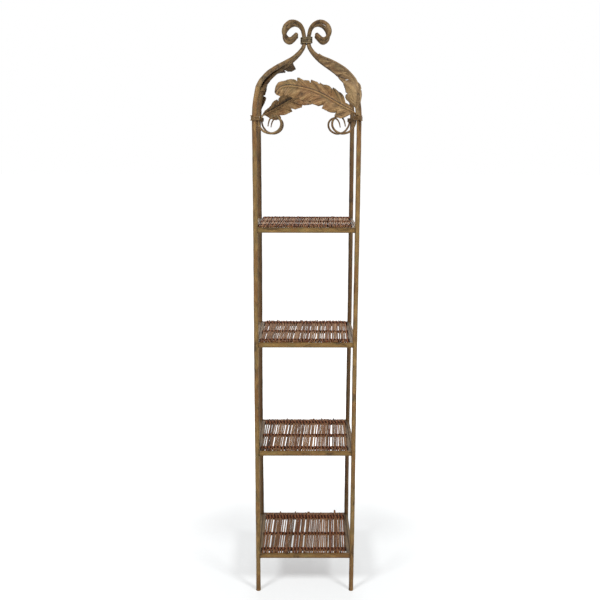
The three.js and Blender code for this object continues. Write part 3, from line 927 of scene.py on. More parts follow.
    def rods(
        self,
        name: str,
        strands: list[Strand],
        finish: bpy.types.Material,
        sides: int,
        dent: float = 0.0,
        dent_size: float = 11.0,
    ) -> bpy.types.Object:
        """Sweeps strands into one object.

        Args:
            name: the object's name.
            strands: the rods.
            finish: its material.
            sides: sides of the round section.
            dent: depth of the hammer dents in millimetres.
            dent_size: their size in millimetres.

        Returns:
            The object.
        """
        edges, first = [], 0
        for strand in strands:
            edges += [(first + i, first + i + 1) for i in range(len(strand.line) - 1)]
            first += len(strand.line)
        mesh = bpy.data.meshes.new(name)
        mesh.from_pydata((np.vstack([strand.line for strand in strands]) * MM).tolist(), edges, [])
        for label, scale in (("girth", MM), ("tone", 1.0), ("worn", 1.0)):
            values = [np.full(len(strand.line), getattr(strand, label)) * scale for strand in strands]
            keep_numbers(mesh, label, np.concatenate(values))
        wanted = {"Sides": sides, "Dent Depth": dent * MM, "Dent Size": dent_size * MM, "Finish": finish}
        return self.settle(piece_object(name, mesh), self.rod_tree, wanted)


def seat(made: bpy.types.Object, slot: Slot, *nodes: str) -> None:
    """Lets a finished piece ride on the frame and stand for its CAD nodes.

    Args:
        made: the piece.
        slot: the record's material slot; not used.
        nodes: the CAD nodes that it stands for.
    """
    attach(made, ROOT)
    if nodes:
        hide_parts(*nodes)
    LOG.info("%s: %d faces, for %s", made.name, len(made.data.polygons), ", ".join(nodes) or "itself")


# The frame's sizes, as in the part's source


@dataclass(frozen=True)
class Frame:
    """The sizes that more than one sub-assembly needs, in millimetres."""

    span_x: float = 330.0
    span_y: float = 304.0
    post_radius: float = 7.7
    tie_level: float = 1642.0
    joint_level: float = 1738.0
    collar_level: float = 1893.0
    collar_reach: float = 10.8
    bar_radius: float = 7.0
    post_lean: float = 16.8
    stem_radius: float = 3.1
    gap: float = 0.3
    shelf_levels: tuple[float, ...] = (143.0, 527.5, 912.0, 1296.5)

    @property
    def reach(self) -> float:
        """From the middle of the plan to a post's centre."""
        return math.hypot(self.span_x, self.span_y) / 2

    @property
    def rod_seat(self) -> float:
        """From a post's centre to the centre of a rod tied to it."""
        return self.post_radius + self.stem_radius + self.gap

    def lean_at(self, level: Array | float) -> Array:
        """How far a post has leaned in at a level."""
        climbed = np.maximum(0.0, np.asarray(level) - self.tie_level) / (self.joint_level - self.tie_level)
        return self.post_lean * climbed**2


@dataclass(frozen=True)
class Corner:
    """A corner of the plan: its name and the signs of its X and Y."""

    name: str
    x: int
    y: int

    def angle(self, frame: Frame) -> float:
        """The turn from +X to the way out to this corner."""
        return math.atan2(self.y * frame.span_y, self.x * frame.span_x)

    def post(self, frame: Frame) -> Array:
        """The post's centre in plan."""
        return np.array([self.x * frame.span_x / 2, self.y * frame.span_y / 2])

    def pick(self, front: Iron, back: Iron) -> Iron:
        """The finish of a piece at this corner, a darker copy at the back, which is painted shade."""
        return front if self.y < 0 else back


FRONT_RIGHT = Corner("front_right", 1, -1)
CORNERS = (Corner("front_left", -1, -1), FRONT_RIGHT, Corner("back_right", 1, 1), Corner("back_left", -1, 1))


# Posts and crown


@dataclass
class Posts:
    """Four forged round posts with flared feet."""

    frame: Frame
    foot_radius: float = 8.6
    foot_height: float = 7.0
    head_radius: float = 7.95
    head_height: float = 14.0
    head_lip: float = 0.3
    ring_step: float = 5.0
    head_rings: tuple[float, ...] = (1.2, 2.5, 4.0, 6.0, 8.0, 10.0, 12.0)
    waver: float = 0.5
    waver_lengths: tuple[float, float] = (173.0, 211.0)
    lump_lengths: tuple[float, float] = (23.0, 9.1)

    def line(self, corner: Corner) -> Strand:
        """The swept line of one post, in the part's frame.

        Args:
            corner: the post's corner.

        Returns:
            The strand.
        """
        frame = self.frame
        top = frame.joint_level - frame.gap / 2
        levels = np.linspace(0, top, int(top / self.ring_step))
        levels = np.unique(np.concatenate([levels, top - np.array(self.head_rings)]))
        draw = random.Random(17 + 3 * corner.x + 5 * corner.y)
        phases = [draw.uniform(0, 2 * math.pi) for _ in range(4)]
        waver = self.waver * np.clip(np.minimum(levels, top - levels) / 120, 0, 1)
        out = frame.reach - frame.lean_at(levels) + waver * np.sin(levels / self.waver_lengths[0] + phases[0])
        out = out + self.head_lip * bell(top - levels, 9)
        side = waver * np.sin(levels / self.waver_lengths[1] + phases[1])
        girth = frame.post_radius + 0.1 + 0.14 * np.sin(levels / self.lump_lengths[0] + phases[2])
        girth = girth + 0.1 * np.sin(levels / self.lump_lengths[1] + phases[3])
        foot = np.clip(1 - levels / (3.2 * self.foot_height), 0, 1) ** 1.6
        head = np.clip(1 - (top - levels) / self.head_height, 0, 1) ** 0.7
        girth = girth + foot * (self.foot_radius - frame.post_radius - 0.2)
        girth = girth + head * (self.head_radius - frame.post_radius - 0.2)
        return Strand(turned(np.stack([out, side, levels], axis=-1), corner.angle(frame)), girth)

    def build(self, forge: Forge) -> None:
        """Makes and seats the four posts.

        Args:
            forge: the trees and finishes.
        """
        for corner in CORNERS:
            name = f"{corner.name}_post"
            # The back posts wear a darker paint, painted shade
            finish = forge.paint[corner.pick(Iron.POST, Iron.SHADED_BACK_POST)]
            made = forge.rods(f"{name}_forged", [self.line(corner)], finish, sides=20, dent=0.3, dent_size=12.0)
            for vertex in made.data.vertices:
                vertex.co.z = max(vertex.co.z, 0.0)
            seat(made, Slot.IRON, name)


@dataclass
class Crown:
    """Four swept bars that end in scrolls, held by a wound wire collar."""

    frame: Frame
    sweep_shares: Pairs = (
        (1, 0), (0.951, 0.103), (0.82, 0.258), (0.671, 0.374), (0.418, 0.519), (0.266, 0.606),
        (0.142, 0.706), (0.065, 0.785), (0.013, 0.865), (0, 0.905), (0, 1),
    )  # fmt: skip
    scroll_shares: Pairs = (
        (0, 0.24), (0.03, 0.43), (0.09, 0.673), (0.216, 0.873), (0.386, 0.981), (0.56, 1), (0.724, 0.935),
        (0.857, 0.804), (0.961, 0.617), (1, 0.402), (0.977, 0.234), (0.91, 0.093), (0.814, 0),
        (0.716, -0.028), (0.617, 0.013), (0.52, 0.12), (0.351, 0.32),
    )  # fmt: skip
    scroll_reach: float = 88.7
    scroll_rise: float = 53.5
    slimmer: float = 0.42
    tip_swell: float = 0.25
    foot_swell: float = 1.35
    foot_run: float = 34.0
    foot_pale: float = 0.55
    ring_step: float = 2.6

    def placed(self, shares: Pairs, reach: float, level: float, rise: float) -> list[Array]:
        """Points in a corner's own frame from a table of shares.

        Args:
            shares: how far out and how far up each point is.
            reach: the greatest way out from the collar.
            level: where the heights start.
            rise: the greatest height.

        Returns:
            The points.
        """
        start = self.frame.collar_reach
        return [np.array([start + out * reach, 0.0, level + up * rise]) for out, up in shares]

    def sweep_points(self) -> list[Array]:
        """The bar's points from the post to the collar, in a corner's own frame.

        Returns:
            The points.
        """
        frame = self.frame
        reach = frame.reach - frame.post_lean - frame.collar_reach
        start = frame.joint_level + frame.gap / 2
        return self.placed(self.sweep_shares, reach, start, frame.collar_level - start)

    def bar_path(self) -> Path:
        """The whole bar's path, which starts a little under its level foot.

        Returns:
            The path.
        """
        sweep = self.sweep_points()
        scroll = self.placed(self.scroll_shares, self.scroll_reach, self.frame.collar_level, self.scroll_rise)
        below = sweep[0] + unit(sweep[0] - sweep[1]) * self.frame.bar_radius
        return Path([below, *sweep, *scroll])

    def build(self, forge: Forge) -> None:
        """Makes and seats the four bars.

        Args:
            forge: the trees and finishes.
        """
        path = self.bar_path()
        shares = np.linspace(0, 1, int(path.length / self.ring_step))
        line = path.at(shares)
        foot = bell(shares * path.length, self.foot_run)
        for corner in CORNERS:
            lumps = 0.12 * np.sin(shares * 61 + corner.x) + 0.1 * np.sin(shares * 137 + corner.y)
            girth = self.frame.bar_radius - self.slimmer + lumps + self.tip_swell * ramp(shares, 0.97, 0.03)
            girth = girth + self.foot_swell * foot
            name = f"{corner.name}_crown_bar"
            placed = turned(line, corner.angle(self.frame))
            strand = Strand(placed, eased_ends(girth, line, 2.4), worn=self.foot_pale * foot**0.3)
            finish = forge.paint[Iron.CROWN]
            made = forge.rods(f"{name}_forged", [strand], finish, sides=22, dent=0.3, dent_size=9.0)
            self._level_foot(made)
            seat(made, Slot.IRON, name)

    def _level_foot(self, made: bpy.types.Object) -> None:
        """Cuts the bar level just over the post's head and closes the cut.

        Args:
            made: the bar.
        """
        level = (self.frame.joint_level + self.frame.gap / 2) * MM
        work = bmesh.new()
        work.from_mesh(made.data)
        everything = work.verts[:] + work.edges[:] + work.faces[:]
        cut = {"plane_co": (0, 0, level), "plane_no": (0, 0, 1), "clear_inner": True}
        bmesh.ops.bisect_plane(work, geom=everything, **cut)
        bmesh.ops.holes_fill(work, edges=[edge for edge in work.edges if edge.is_boundary])
        work.to_mesh(made.data)
        work.free()


@dataclass(frozen=True)
class Winding:
    """A wound wire: its thickness, its climb in each turn, its turns and how far its ends stand out."""

    wire: float
    pitch: float
    loops: int
    tail: float
    loop_steps: int = 60

    def strand(self, rods: list[Triple], gap: float, start: float, level: float) -> Strand:
        """The wire drawn tight round parallel rods.

        Args:
            rods: each rod's X, Y and radius.
            gap: the wire's distance from them.
            start: the turn, in turns, where it starts.
            level: the middle of its height.

        Returns:
            The strand.
        """
        turns = np.linspace(0, self.loops, self.loops * self.loop_steps + 1)
        angles = 2 * math.pi * (start + turns)
        ways = np.stack([np.cos(angles), np.sin(angles)], axis=-1)
        best = np.argmax(np.stack([ways @ np.array([x, y]) + r for x, y, r in rods]), axis=0)
        held = np.array(rods)[best]
        plan = held[:, :2] + ways * (held[:, 2] + self.wire / 2 + gap)[:, None]
        points = np.column_stack([plan, level + self.pitch * (turns - self.loops / 2)])
        out = np.array([math.cos(2 * math.pi * start), math.sin(2 * math.pi * start), 0.0]) * self.tail
        path = Path(np.vstack([points[:1] + out, points, points[-1:] + out]))
        line = path.at(np.linspace(0, 1, self.loops * self.loop_steps))
        return Strand(line, eased_ends(np.full(len(line), self.wire / 2), line, 1.2))


@dataclass
class Wires:
    """The wound wires: one collar round the crown bars and a tie at each corner."""

    frame: Frame
    collar: Winding = Winding(4.7, 5.2, 4, 4.7)
    tie: Winding = Winding(3.8, 4.4, 3, 6.0)

    def tie_rods(self, corner: Corner) -> list[Triple]:
        """The rods in one tie: the post, the tendril's rod and, on two corners, a leaf's stem.

        Args:
            corner: the tie's corner.

        Returns:
            Each rod's X, Y and radius.
        """
        frame = self.frame
        x, y = corner.post(frame)
        rods = [(x, y, frame.post_radius), (x - corner.x * frame.rod_seat, y, frame.stem_radius)]
        if corner.x * corner.y < 0:
            rods.append((x, y + corner.y * frame.rod_seat, frame.stem_radius))
        return rods

    def build(self, forge: Forge) -> None:
        """Makes and seats the collar and the ties.

        Args:
            forge: the trees and finishes.
        """
        frame = self.frame
        angles = [corner.angle(frame) for corner in CORNERS]
        out = frame.collar_reach
        bars = [(out * math.cos(angle), out * math.sin(angle), frame.bar_radius) for angle in angles]
        collar = self.collar.strand(bars, frame.gap, 0.25, frame.collar_level)
        finish = forge.paint[Iron.COLLAR]
        made = forge.rods("crown_collar_wound_wire", [collar], finish, sides=12, dent=0.24, dent_size=5.0)
        seat(made, Slot.WIRE, "crown_collar_wire")
        for corner, angle in zip(CORNERS, angles):
            tie = self.tie.strand(self.tie_rods(corner), frame.gap, angle / (2 * math.pi), frame.tie_level)
            # The back ties wear a darker paint, painted shade
            finish = forge.paint[corner.pick(Iron.TIE, Iron.SHADED_BACK_TIE)]
            name = f"{corner.name}_tie_wound_wire"
            made = forge.rods(name, [tie], finish, sides=12, dent=0.2, dent_size=5.0)
            seat(made, Slot.WIRE, f"{corner.name}_tie_wire")


@dataclass
class Tendrils:
    """Four thin rods that curl up beside the posts and taper to a point."""

    frame: Frame
    reach: float = 73.0
    drop: float = 47.0
    radius: float = 3.55
    tip_radius: float = 1.7
    shares: Pairs = (
        (0, 0), (0, 0.2), (0.02, 0.38), (0.09, 0.6), (0.23, 0.85), (0.405, 0.97), (0.6, 1), (0.775, 0.915),
        (0.925, 0.725), (1, 0.47), (0.993, 0.21), (0.91, 0), (0.775, -0.127), (0.625, -0.095),
        (0.515, 0.085), (0.46, 0.32), (0.433, 0.55),
    )  # fmt: skip

    def build(self, forge: Forge) -> None:
        """Makes and seats the tendrils.

        Args:
            forge: the trees and finishes.
        """
        frame = self.frame
        top = frame.tie_level - frame.gap / 2
        places = np.linspace(0, 1, 150)
        girth = frame.stem_radius + (self.radius - frame.stem_radius) * ramp(places, 0.08, 0.15)
        girth = girth + (self.tip_radius - self.radius) * ramp(places, 0.7, 0.3) ** 1.3
        girth = girth + 0.07 * np.sin(places * 90)
        for corner in CORNERS:
            x, y = corner.post(frame)
            points = []
            for inward, down in self.shares:
                out = x - corner.x * (frame.rod_seat + inward * self.reach)
                points.append(np.array([out, y, top - down * self.drop]))
            line = Path(points).at(places)
            # The back tendrils wear the darker back post paint, painted shade
            finish = forge.paint[corner.pick(Iron.CROWN, Iron.SHADED_BACK_POST)]
            strand = Strand(line, eased_ends(girth, line, 1.2))
            name = f"{corner.name}_tendril_curl"
            made = forge.rods(name, [strand], finish, sides=14, dent=0.12, dent_size=6.0)
            seat(made, Slot.IRON, f"{corner.name}_tendril")


# Leaves


@dataclass(frozen=True)
class Cut:
    """A slit between two lobes: its share along the blade, how deep and how wide it is."""

    along: float
    depth: float
    width: float = 0.008


@dataclass(frozen=True)
class Half:
    """One half of a leaf: its greatest width in millimetres, its outline in shares and its cuts."""

    width: float
    shares: Pairs
    cuts: tuple[Cut, ...] = ()

    def reach(self, along: Array, teeth: float, depth: float) -> Array:
        """The margin's distance from the midrib.

        Args:
            along: shares along the blade.
            teeth: number of fine teeth from end to end.
            depth: the notch between teeth as a share of the width.

        Returns:
            The distances.
        """
        table = np.array(self.shares)
        reach = self.width * np.interp(along, table[:, 0], table[:, 1])
        notch = (0.5 + 0.5 * np.sin(31 * along)) * np.abs(np.cos(math.pi * along * teeth)) ** 5
        reach = reach * (1 - depth * notch)
        for cut in self.cuts:
            reach = reach * (1 - cut.depth * np.clip(1 - np.abs(along - cut.along) / cut.width, 0, 1) ** 0.8)
        return reach

    def crease(self, along: Array) -> Array:
        """How close each place is to the crease that runs in from a cut, from 0 to 1."""
        near = [bell(along - cut.along, 1.4 * cut.width) * min(1.0, cut.depth * 2.5) for cut in self.cuts]
        return np.max(near, axis=0)

    def fold(self, along: Array) -> Array:
        """How far each lobe's margin turns up.

        Args:
            along: shares along the blade.

        Returns:
            From -1 at a lobe's near end to 1 at its far end.
        """
        stops = np.array([0.0, *(cut.along for cut in self.cuts), 1.0])
        lobe = np.clip(np.searchsorted(stops, along, side="right") - 1, 0, len(stops) - 2)
        phase = (along - stops[lobe]) / (stops[lobe + 1] - stops[lobe])
        return (2 * phase - 1) * np.clip(np.minimum(phase, 1 - phase) / 0.06, 0, 1)


@dataclass
class Stations:
    """Where a blade's cross-sections stand: their centres, ways along and ways out for each half."""

    centre: Array
    way: Array
    left: Array
    right: Array


@dataclass(frozen=True)
class Tear:
    """A see-through tear: its ends along the blade and its sides as shares across it."""

    start: float
    end: float
    near: float
    far: float


@dataclass
class Blade:
    """A thin embossed leaf on a spine."""

    name: str
    node: str
    left: Half
    right: Half
    stations: Stations
    stem: Strand
    sweep: float
    turn: float
    start: float
    bulge: float = 0.05
    wave: float = 2.4
    lift: float = 1.5
    teeth: float = 31.0
    notch: float = 0.03
    veins: float = 25.0
    slant: float = 0.85
    length: float = 270.0
    emboss: float = 1.0
    # The next four set the veins' painted shade and highlight, the midrib's rib, and the width and strength of
    # the rims' painted shade
    vein_shading: float = 0.8
    rib: float = 1.9
    rim: float = 3.0
    rim_shade: tuple[float, float] = (0.8, 0.55)
    pale_foot: float = 0.0
    paint: Iron = Iron.LEAF
    thickness: float = 1.4
    across: int = 28
    tear: Tear | None = None

    def skin(self) -> tuple[Array, Array, Array]:
        """The blade's middle surface.

        Returns:
            The grid of points, how dark each one is with painted shade and dirt, and how bright with painted
            highlight and wear.
        """
        stations = self.stations
        along = np.linspace(self.start, 1, len(stations.centre))[:, None]
        signed = np.linspace(-1, 1, 2 * self.across + 1)[None, :]
        out, is_left = np.abs(signed), signed > 0
        on_left = is_left[..., None]
        margins = [half.reach(along, self.teeth, self.notch) for half in (self.left, self.right)]
        full = np.where(is_left, *margins)
        distance = out * full
        way = stations.way[:, None, :]
        left, right = stations.left[:, None, :], stations.right[:, None, :]
        points = stations.centre[:, None, :] + np.where(on_left, left, right) * distance[..., None]
        points = points + way * (self.sweep * distance)[..., None]
        face_left, face_right = unit(np.cross(way, left)), unit(np.cross(right, way))
        crease = np.clip(out * 9, 0, 1)[..., None]
        face = crease * unit(np.where(on_left, face_left, face_right))
        face = face + (1 - crease) * unit(face_left + face_right)
        # Lobes, waves, creases and veins slant towards the tip
        drawn = along + self.slant * (1 - out) * full / self.length
        shift = 0.9 * is_left + self.veins / 7
        swell = np.sin(2 * math.pi * (5.3 * drawn - 0.35 * out) + 4.1 * shift)
        swell = 0.6 * swell + 0.5 * np.sin(2 * math.pi * (9.1 * drawn + 0.5 * out) + 2.3 * shift)
        folds = np.where(is_left, self.left.fold(drawn), self.right.fold(drawn))
        creases = np.where(is_left, self.left.crease(drawn), self.right.crease(drawn))
        drawn = self.veins * drawn
        wander = 0.3 * np.sin(7.3 * along + 3.1 * out) + 0.15 * np.sin(23.0 * along)
        strength = 0.6 + 0.4 * np.sin(2 * math.pi * along * 2.7 + 2.0 * is_left)
        vein = (1 - np.abs(np.sin(math.pi * (drawn + wander)))) ** 3 * strength
        valley = (1 - np.abs(np.sin(math.pi * (drawn + wander + 0.42)))) ** 3 * strength
        fine = 0.5 + 0.5 * np.sin(2 * math.pi * (3.3 * drawn + wander + 0.4 * np.sin(9 * out)))
        fade = np.clip(out * 5, 0, 1) * np.clip(full / 14, 0, 1) * (1 - 0.4 * out)
        size, outer = np.clip(full / 30, 0, 1), np.clip(out * 3, 0, 1)
        deep = creases * np.clip(out * 1.7, 0, 1)
        rise = self.bulge * full * 4 * out * (1 - out)
        rise = rise + size * (self.wave * swell * out**1.3 + self.lift * folds * out**1.3 - 1.2 * deep)
        rise = rise + self.emboss * (vein - valley + 0.18 * fine) * fade
        rise = rise + self.rib * bell(distance, 2.1) - 1.1 * bell(distance - 5.0, 2.3)
        points = points - unit(face) * rise[..., None]
        # Painted shade darkens the valleys, a line beside the midrib, the rims and the cuts; painted highlight
        # lightens the midrib's ridge, the veins and the fold crests
        channel = bell(distance - 4.6, 2.6) * np.where(is_left, 1.0, 0.4) * np.clip(full / 8, 0, 1)
        edge = ramp(distance - full, -self.rim, self.rim) ** 1.5 * np.where(is_left, *self.rim_shade)
        hollow = np.clip(-0.9 * swell - 0.1, 0, 1) * outer * (1 - 0.35 * out)
        shade_and_dirt = (self.vein_shading * valley + 0.15 * fine) * fade + channel + edge
        shade_and_dirt = shade_and_dirt + 0.95 * deep + 0.5 * hollow * size
        worn = 0.5 * bell(distance, 2.2) + 0.6 * np.clip(swell - 0.1, 0, 1) * outer
        foot = self.pale_foot * np.clip((0.4 - along) / 0.22, 0, 1)
        shade_and_dirt = shade_and_dirt * (1 - foot) + edge * foot
        worn = (worn + 0.75 * self.vein_shading * vein * fade + foot) * (1 - edge) * (1 - 0.8 * channel)
        return points, np.clip(shade_and_dirt, 0, 1), np.clip(worn, 0, 1)

    @staticmethod
    def inner_masks(shade_and_dirt: Array, worn: Array) -> tuple[Array, Array]:
        """The paint masks of the side that faces in: duller, with a band of painted shade along the midrib and
        painted highlight towards the left half's margin.

        Args:
            shade_and_dirt: the painted shade and dirt on the outer side.
            worn: the painted highlight and wear on it.

        Returns:
            The painted shade and dirt, and the painted highlight and wear, on the inner side.
        """
        out = np.linspace(-1, 1, shade_and_dirt.shape[1])[None, :]
        dirt_and_shade = 0.05 + 0.7 * shade_and_dirt + 1.1 * bell(out - 0.12, 0.16)
        return np.clip(dirt_and_shade, 0, 1), np.clip(0.6 * worn + 0.55 * ramp(out, 0.35, 0.3), 0, 1)

    @staticmethod
    def rim_walls(loop: list[tuple[int, int]], rows: int, columns: int) -> Faces:
        """The walls between the two skins along a loop of grid places.

        Args:
            loop: the row and column of each place.
            rows: rows of each skin's grid.
            columns: columns of each skin's grid.

        Returns:
            One quad for each step of the loop.
        """
        count = rows * columns
        numbers = [r * columns + c for r, c in loop]
        return [(a, b, b + count, a + count) for a, b in zip(numbers, numbers[1:] + numbers[:1])]

    def torn(self, faces: Faces, rows: int, columns: int) -> Faces:
        """Opens the small tear in the blade.

        Args:
            faces: the closed blade's faces.
            rows: rows of its grid.
            columns: columns of its grid.

        Returns:
            The faces with the tear's own taken out and its walls put in.
        """
        ends = (self.tear.start, self.tear.end)
        r0, r1 = (round((share - self.start) / (1 - self.start) * (rows - 1)) for share in ends)
        c0, c1 = (round((out + 1) / 2 * (columns - 1)) for out in (self.tear.near, self.tear.far))
        cells = {r * columns + c for r in range(r0, r1) for c in range(c0, c1)}
        kept = []
        for face in faces:
            in_a_skin = max(face) - min(face) == columns + 1
            if not (in_a_skin and min(face) % (rows * columns) in cells):
                kept.append(face)
        loop = [(r0, c) for c in range(c0, c1)] + [(r, c1) for r in range(r0, r1)]
        loop += [(r1, c) for c in range(c1, c0, -1)] + [(r, c0) for r in range(r1, r0, -1)]
        return kept + self.rim_walls(loop, rows, columns)

    def mesh(self) -> bpy.types.Mesh:
        """The blade as a closed thin body with its paint masks as attributes.

        Returns:
            The mesh.
        """
        points, shade_and_dirt, worn = self.skin()
        rows, columns = points.shape[:2]
        normal = unit(np.cross(np.gradient(points, axis=0), np.gradient(points, axis=1)))
        rim = np.abs(np.linspace(-1, 1, columns))
        half = (self.thickness / 2) * np.sqrt(1 - 0.72 * rim**6)[None, :, None]
        skins = np.vstack([(points + normal * half).reshape(-1, 3), (points - normal * half).reshape(-1, 3)])
        faces = grid_faces(rows, columns) + grid_faces(rows, columns, rows * columns, flip=True)
        loop = [(0, c) for c in range(columns)] + [(r, columns - 1) for r in range(1, rows)]
        loop += [(rows - 1, c) for c in range(columns - 2, -1, -1)] + [(r, 0) for r in range(rows - 2, 0, -1)]
        faces += self.rim_walls(loop, rows, columns)
        if self.tear:
            faces = self.torn(faces, rows, columns)
        inner_shade_and_dirt, inner_wear_and_highlight = self.inner_masks(shade_and_dirt, worn)
        masks = {"shade_and_dirt": np.stack([inner_shade_and_dirt, shade_and_dirt]), "worn": np.stack([inner_wear_and_highlight, worn])}
        mesh = closed_mesh(self.name, turned(skins, self.turn), faces, masks)
        mesh.shade_smooth()
        return mesh

    def build(self, forge: Forge) -> None:
        """Makes and seats the blade and its stem.

        Args:
            forge: the trees and finishes.
        """
        made = piece_object(self.name, self.mesh())
        made.data.materials.append(forge.paint[self.paint])
        seat(made, Slot.LEAF, self.node)
        stem = Strand(turned(self.stem.line, self.turn), self.stem.girth, worn=self.stem.worn)
        finish = forge.paint[self.paint]
        rod = forge.rods(f"{self.name}_stem", [stem], finish, sides=14, dent=0.1, dent_size=6.0)
        seat(rod, Slot.LEAF)


ARCH_UPPER = Half(
    58.0,
    (
        (-0.061, 0.03), (-0.02, 0.17), (0, 0.27), (0.03, 0.36), (0.06, 0.42), (0.08, 0.37), (0.12, 0.74),
        (0.16, 0.93), (0.2, 0.94), (0.27, 0.95), (0.283, 0.93), (0.297, 0.89), (0.32, 0.88), (0.4, 0.83),
        (0.436, 0.83), (0.446, 0.79), (0.48, 0.79), (0.532, 0.79), (0.543, 0.69), (0.57, 0.71),
        (0.64, 0.72), (0.69, 0.7), (0.701, 0.54), (0.735, 0.62), (0.81, 0.52), (0.89, 0.42), (0.975, 0.2),
        (1, 0.02),
    ),
    (Cut(0.085, 0.1), Cut(0.289, 0.45, 0.009), Cut(0.443, 0.14), Cut(0.541, 0.26), Cut(0.698, 0.24)),
)  # fmt: skip
BACK_UPPER = Half(
    58.0,
    (
        (-0.061, 0.03), (-0.02, 0.17), (0, 0.25), (0.06, 0.34), (0.1, 0.46), (0.15, 0.58), (0.19, 0.6),
        (0.25, 0.66), (0.283, 0.75), (0.297, 0.72), (0.34, 0.8), (0.4, 0.83), (0.436, 0.83), (0.446, 0.79),
        (0.532, 0.79), (0.543, 0.69), (0.64, 0.72), (0.69, 0.7), (0.701, 0.54), (0.735, 0.62), (0.81, 0.52),
        (0.89, 0.42), (0.975, 0.2), (1, 0.02),
    ),
    (Cut(0.085, 0.12), Cut(0.2, 0.3, 0.009), Cut(0.289, 0.25, 0.009), Cut(0.443, 0.14), Cut(0.541, 0.26)),
)  # fmt: skip
ARCH_LOWER = Half(
    60.0,
    (
        (-0.061, 0.03), (-0.03, 0.08), (0.02, 0.52), (0.05, 0.64), (0.1, 0.68), (0.122, 0.66),
        (0.134, 0.48), (0.18, 0.6), (0.26, 0.66), (0.288, 0.66), (0.303, 0.46), (0.34, 0.62), (0.435, 0.69),
        (0.46, 0.6), (0.5, 0.62), (0.6, 0.67), (0.63, 0.58), (0.69, 0.64), (0.78, 0.52), (0.86, 0.47),
        (0.93, 0.42), (0.98, 0.28), (1, 0.02),
    ),
    (
        Cut(0.128, 0.1, 0.01), Cut(0.296, 0.1, 0.01), Cut(0.47, 0.08, 0.01), Cut(0.64, 0.1, 0.01),
        Cut(0.8, 0.1, 0.01),
    ),
)  # fmt: skip
SHEATH_REAR = Half(
    33.0,
    (
        (-0.12, 0.05), (0, 0.1), (0.05, 0.3), (0.12, 0.44), (0.17, 0.46), (0.21, 0.62), (0.25, 0.7),
        (0.3, 0.66), (0.36, 0.78), (0.44, 0.84), (0.48, 0.8), (0.55, 0.84), (0.63, 0.84), (0.67, 0.78),
        (0.74, 0.77), (0.82, 0.67), (0.9, 0.42), (1, 0.06),
    ),
    (Cut(0.19, 0.22, 0.012), Cut(0.3, 0.4, 0.014), Cut(0.48, 0.34, 0.014), Cut(0.67, 0.25, 0.014)),
)  # fmt: skip
RIGHT_FRONT = Half(
    45.0,
    (
        (-0.12, 0.14), (-0.08, 0.2), (-0.02, 0.22), (0.01, 0.4), (0.04, 0.72), (0.08, 0.92), (0.11, 0.97),
        (0.15, 0.88), (0.2, 0.88), (0.27, 0.96), (0.38, 1), (0.53, 0.89), (0.68, 0.78), (0.81, 0.66),
        (0.9, 0.5), (0.96, 0.28), (1, 0.04),
    ),
    (Cut(0.16, 0.14, 0.014), Cut(0.45, 0.34, 0.016), Cut(0.7, 0.1, 0.01)),
)  # fmt: skip
LEFT_FRONT = Half(
    45.0,
    (
        (-0.12, 0.08), (0, 0.12), (0.08, 0.42), (0.15, 0.52), (0.18, 0.4), (0.26, 0.49), (0.35, 0.4),
        (0.42, 0.4), (0.54, 0.36), (0.59, 0.45), (0.66, 0.71), (0.7, 0.66), (0.75, 0.91), (0.84, 0.91),
        (0.88, 0.47), (0.92, 0.22), (1, 0.04),
    ),
    (Cut(0.18, 0.35, 0.012), Cut(0.35, 0.32, 0.012), Cut(0.7, 0.3, 0.014)),
)  # fmt: skip


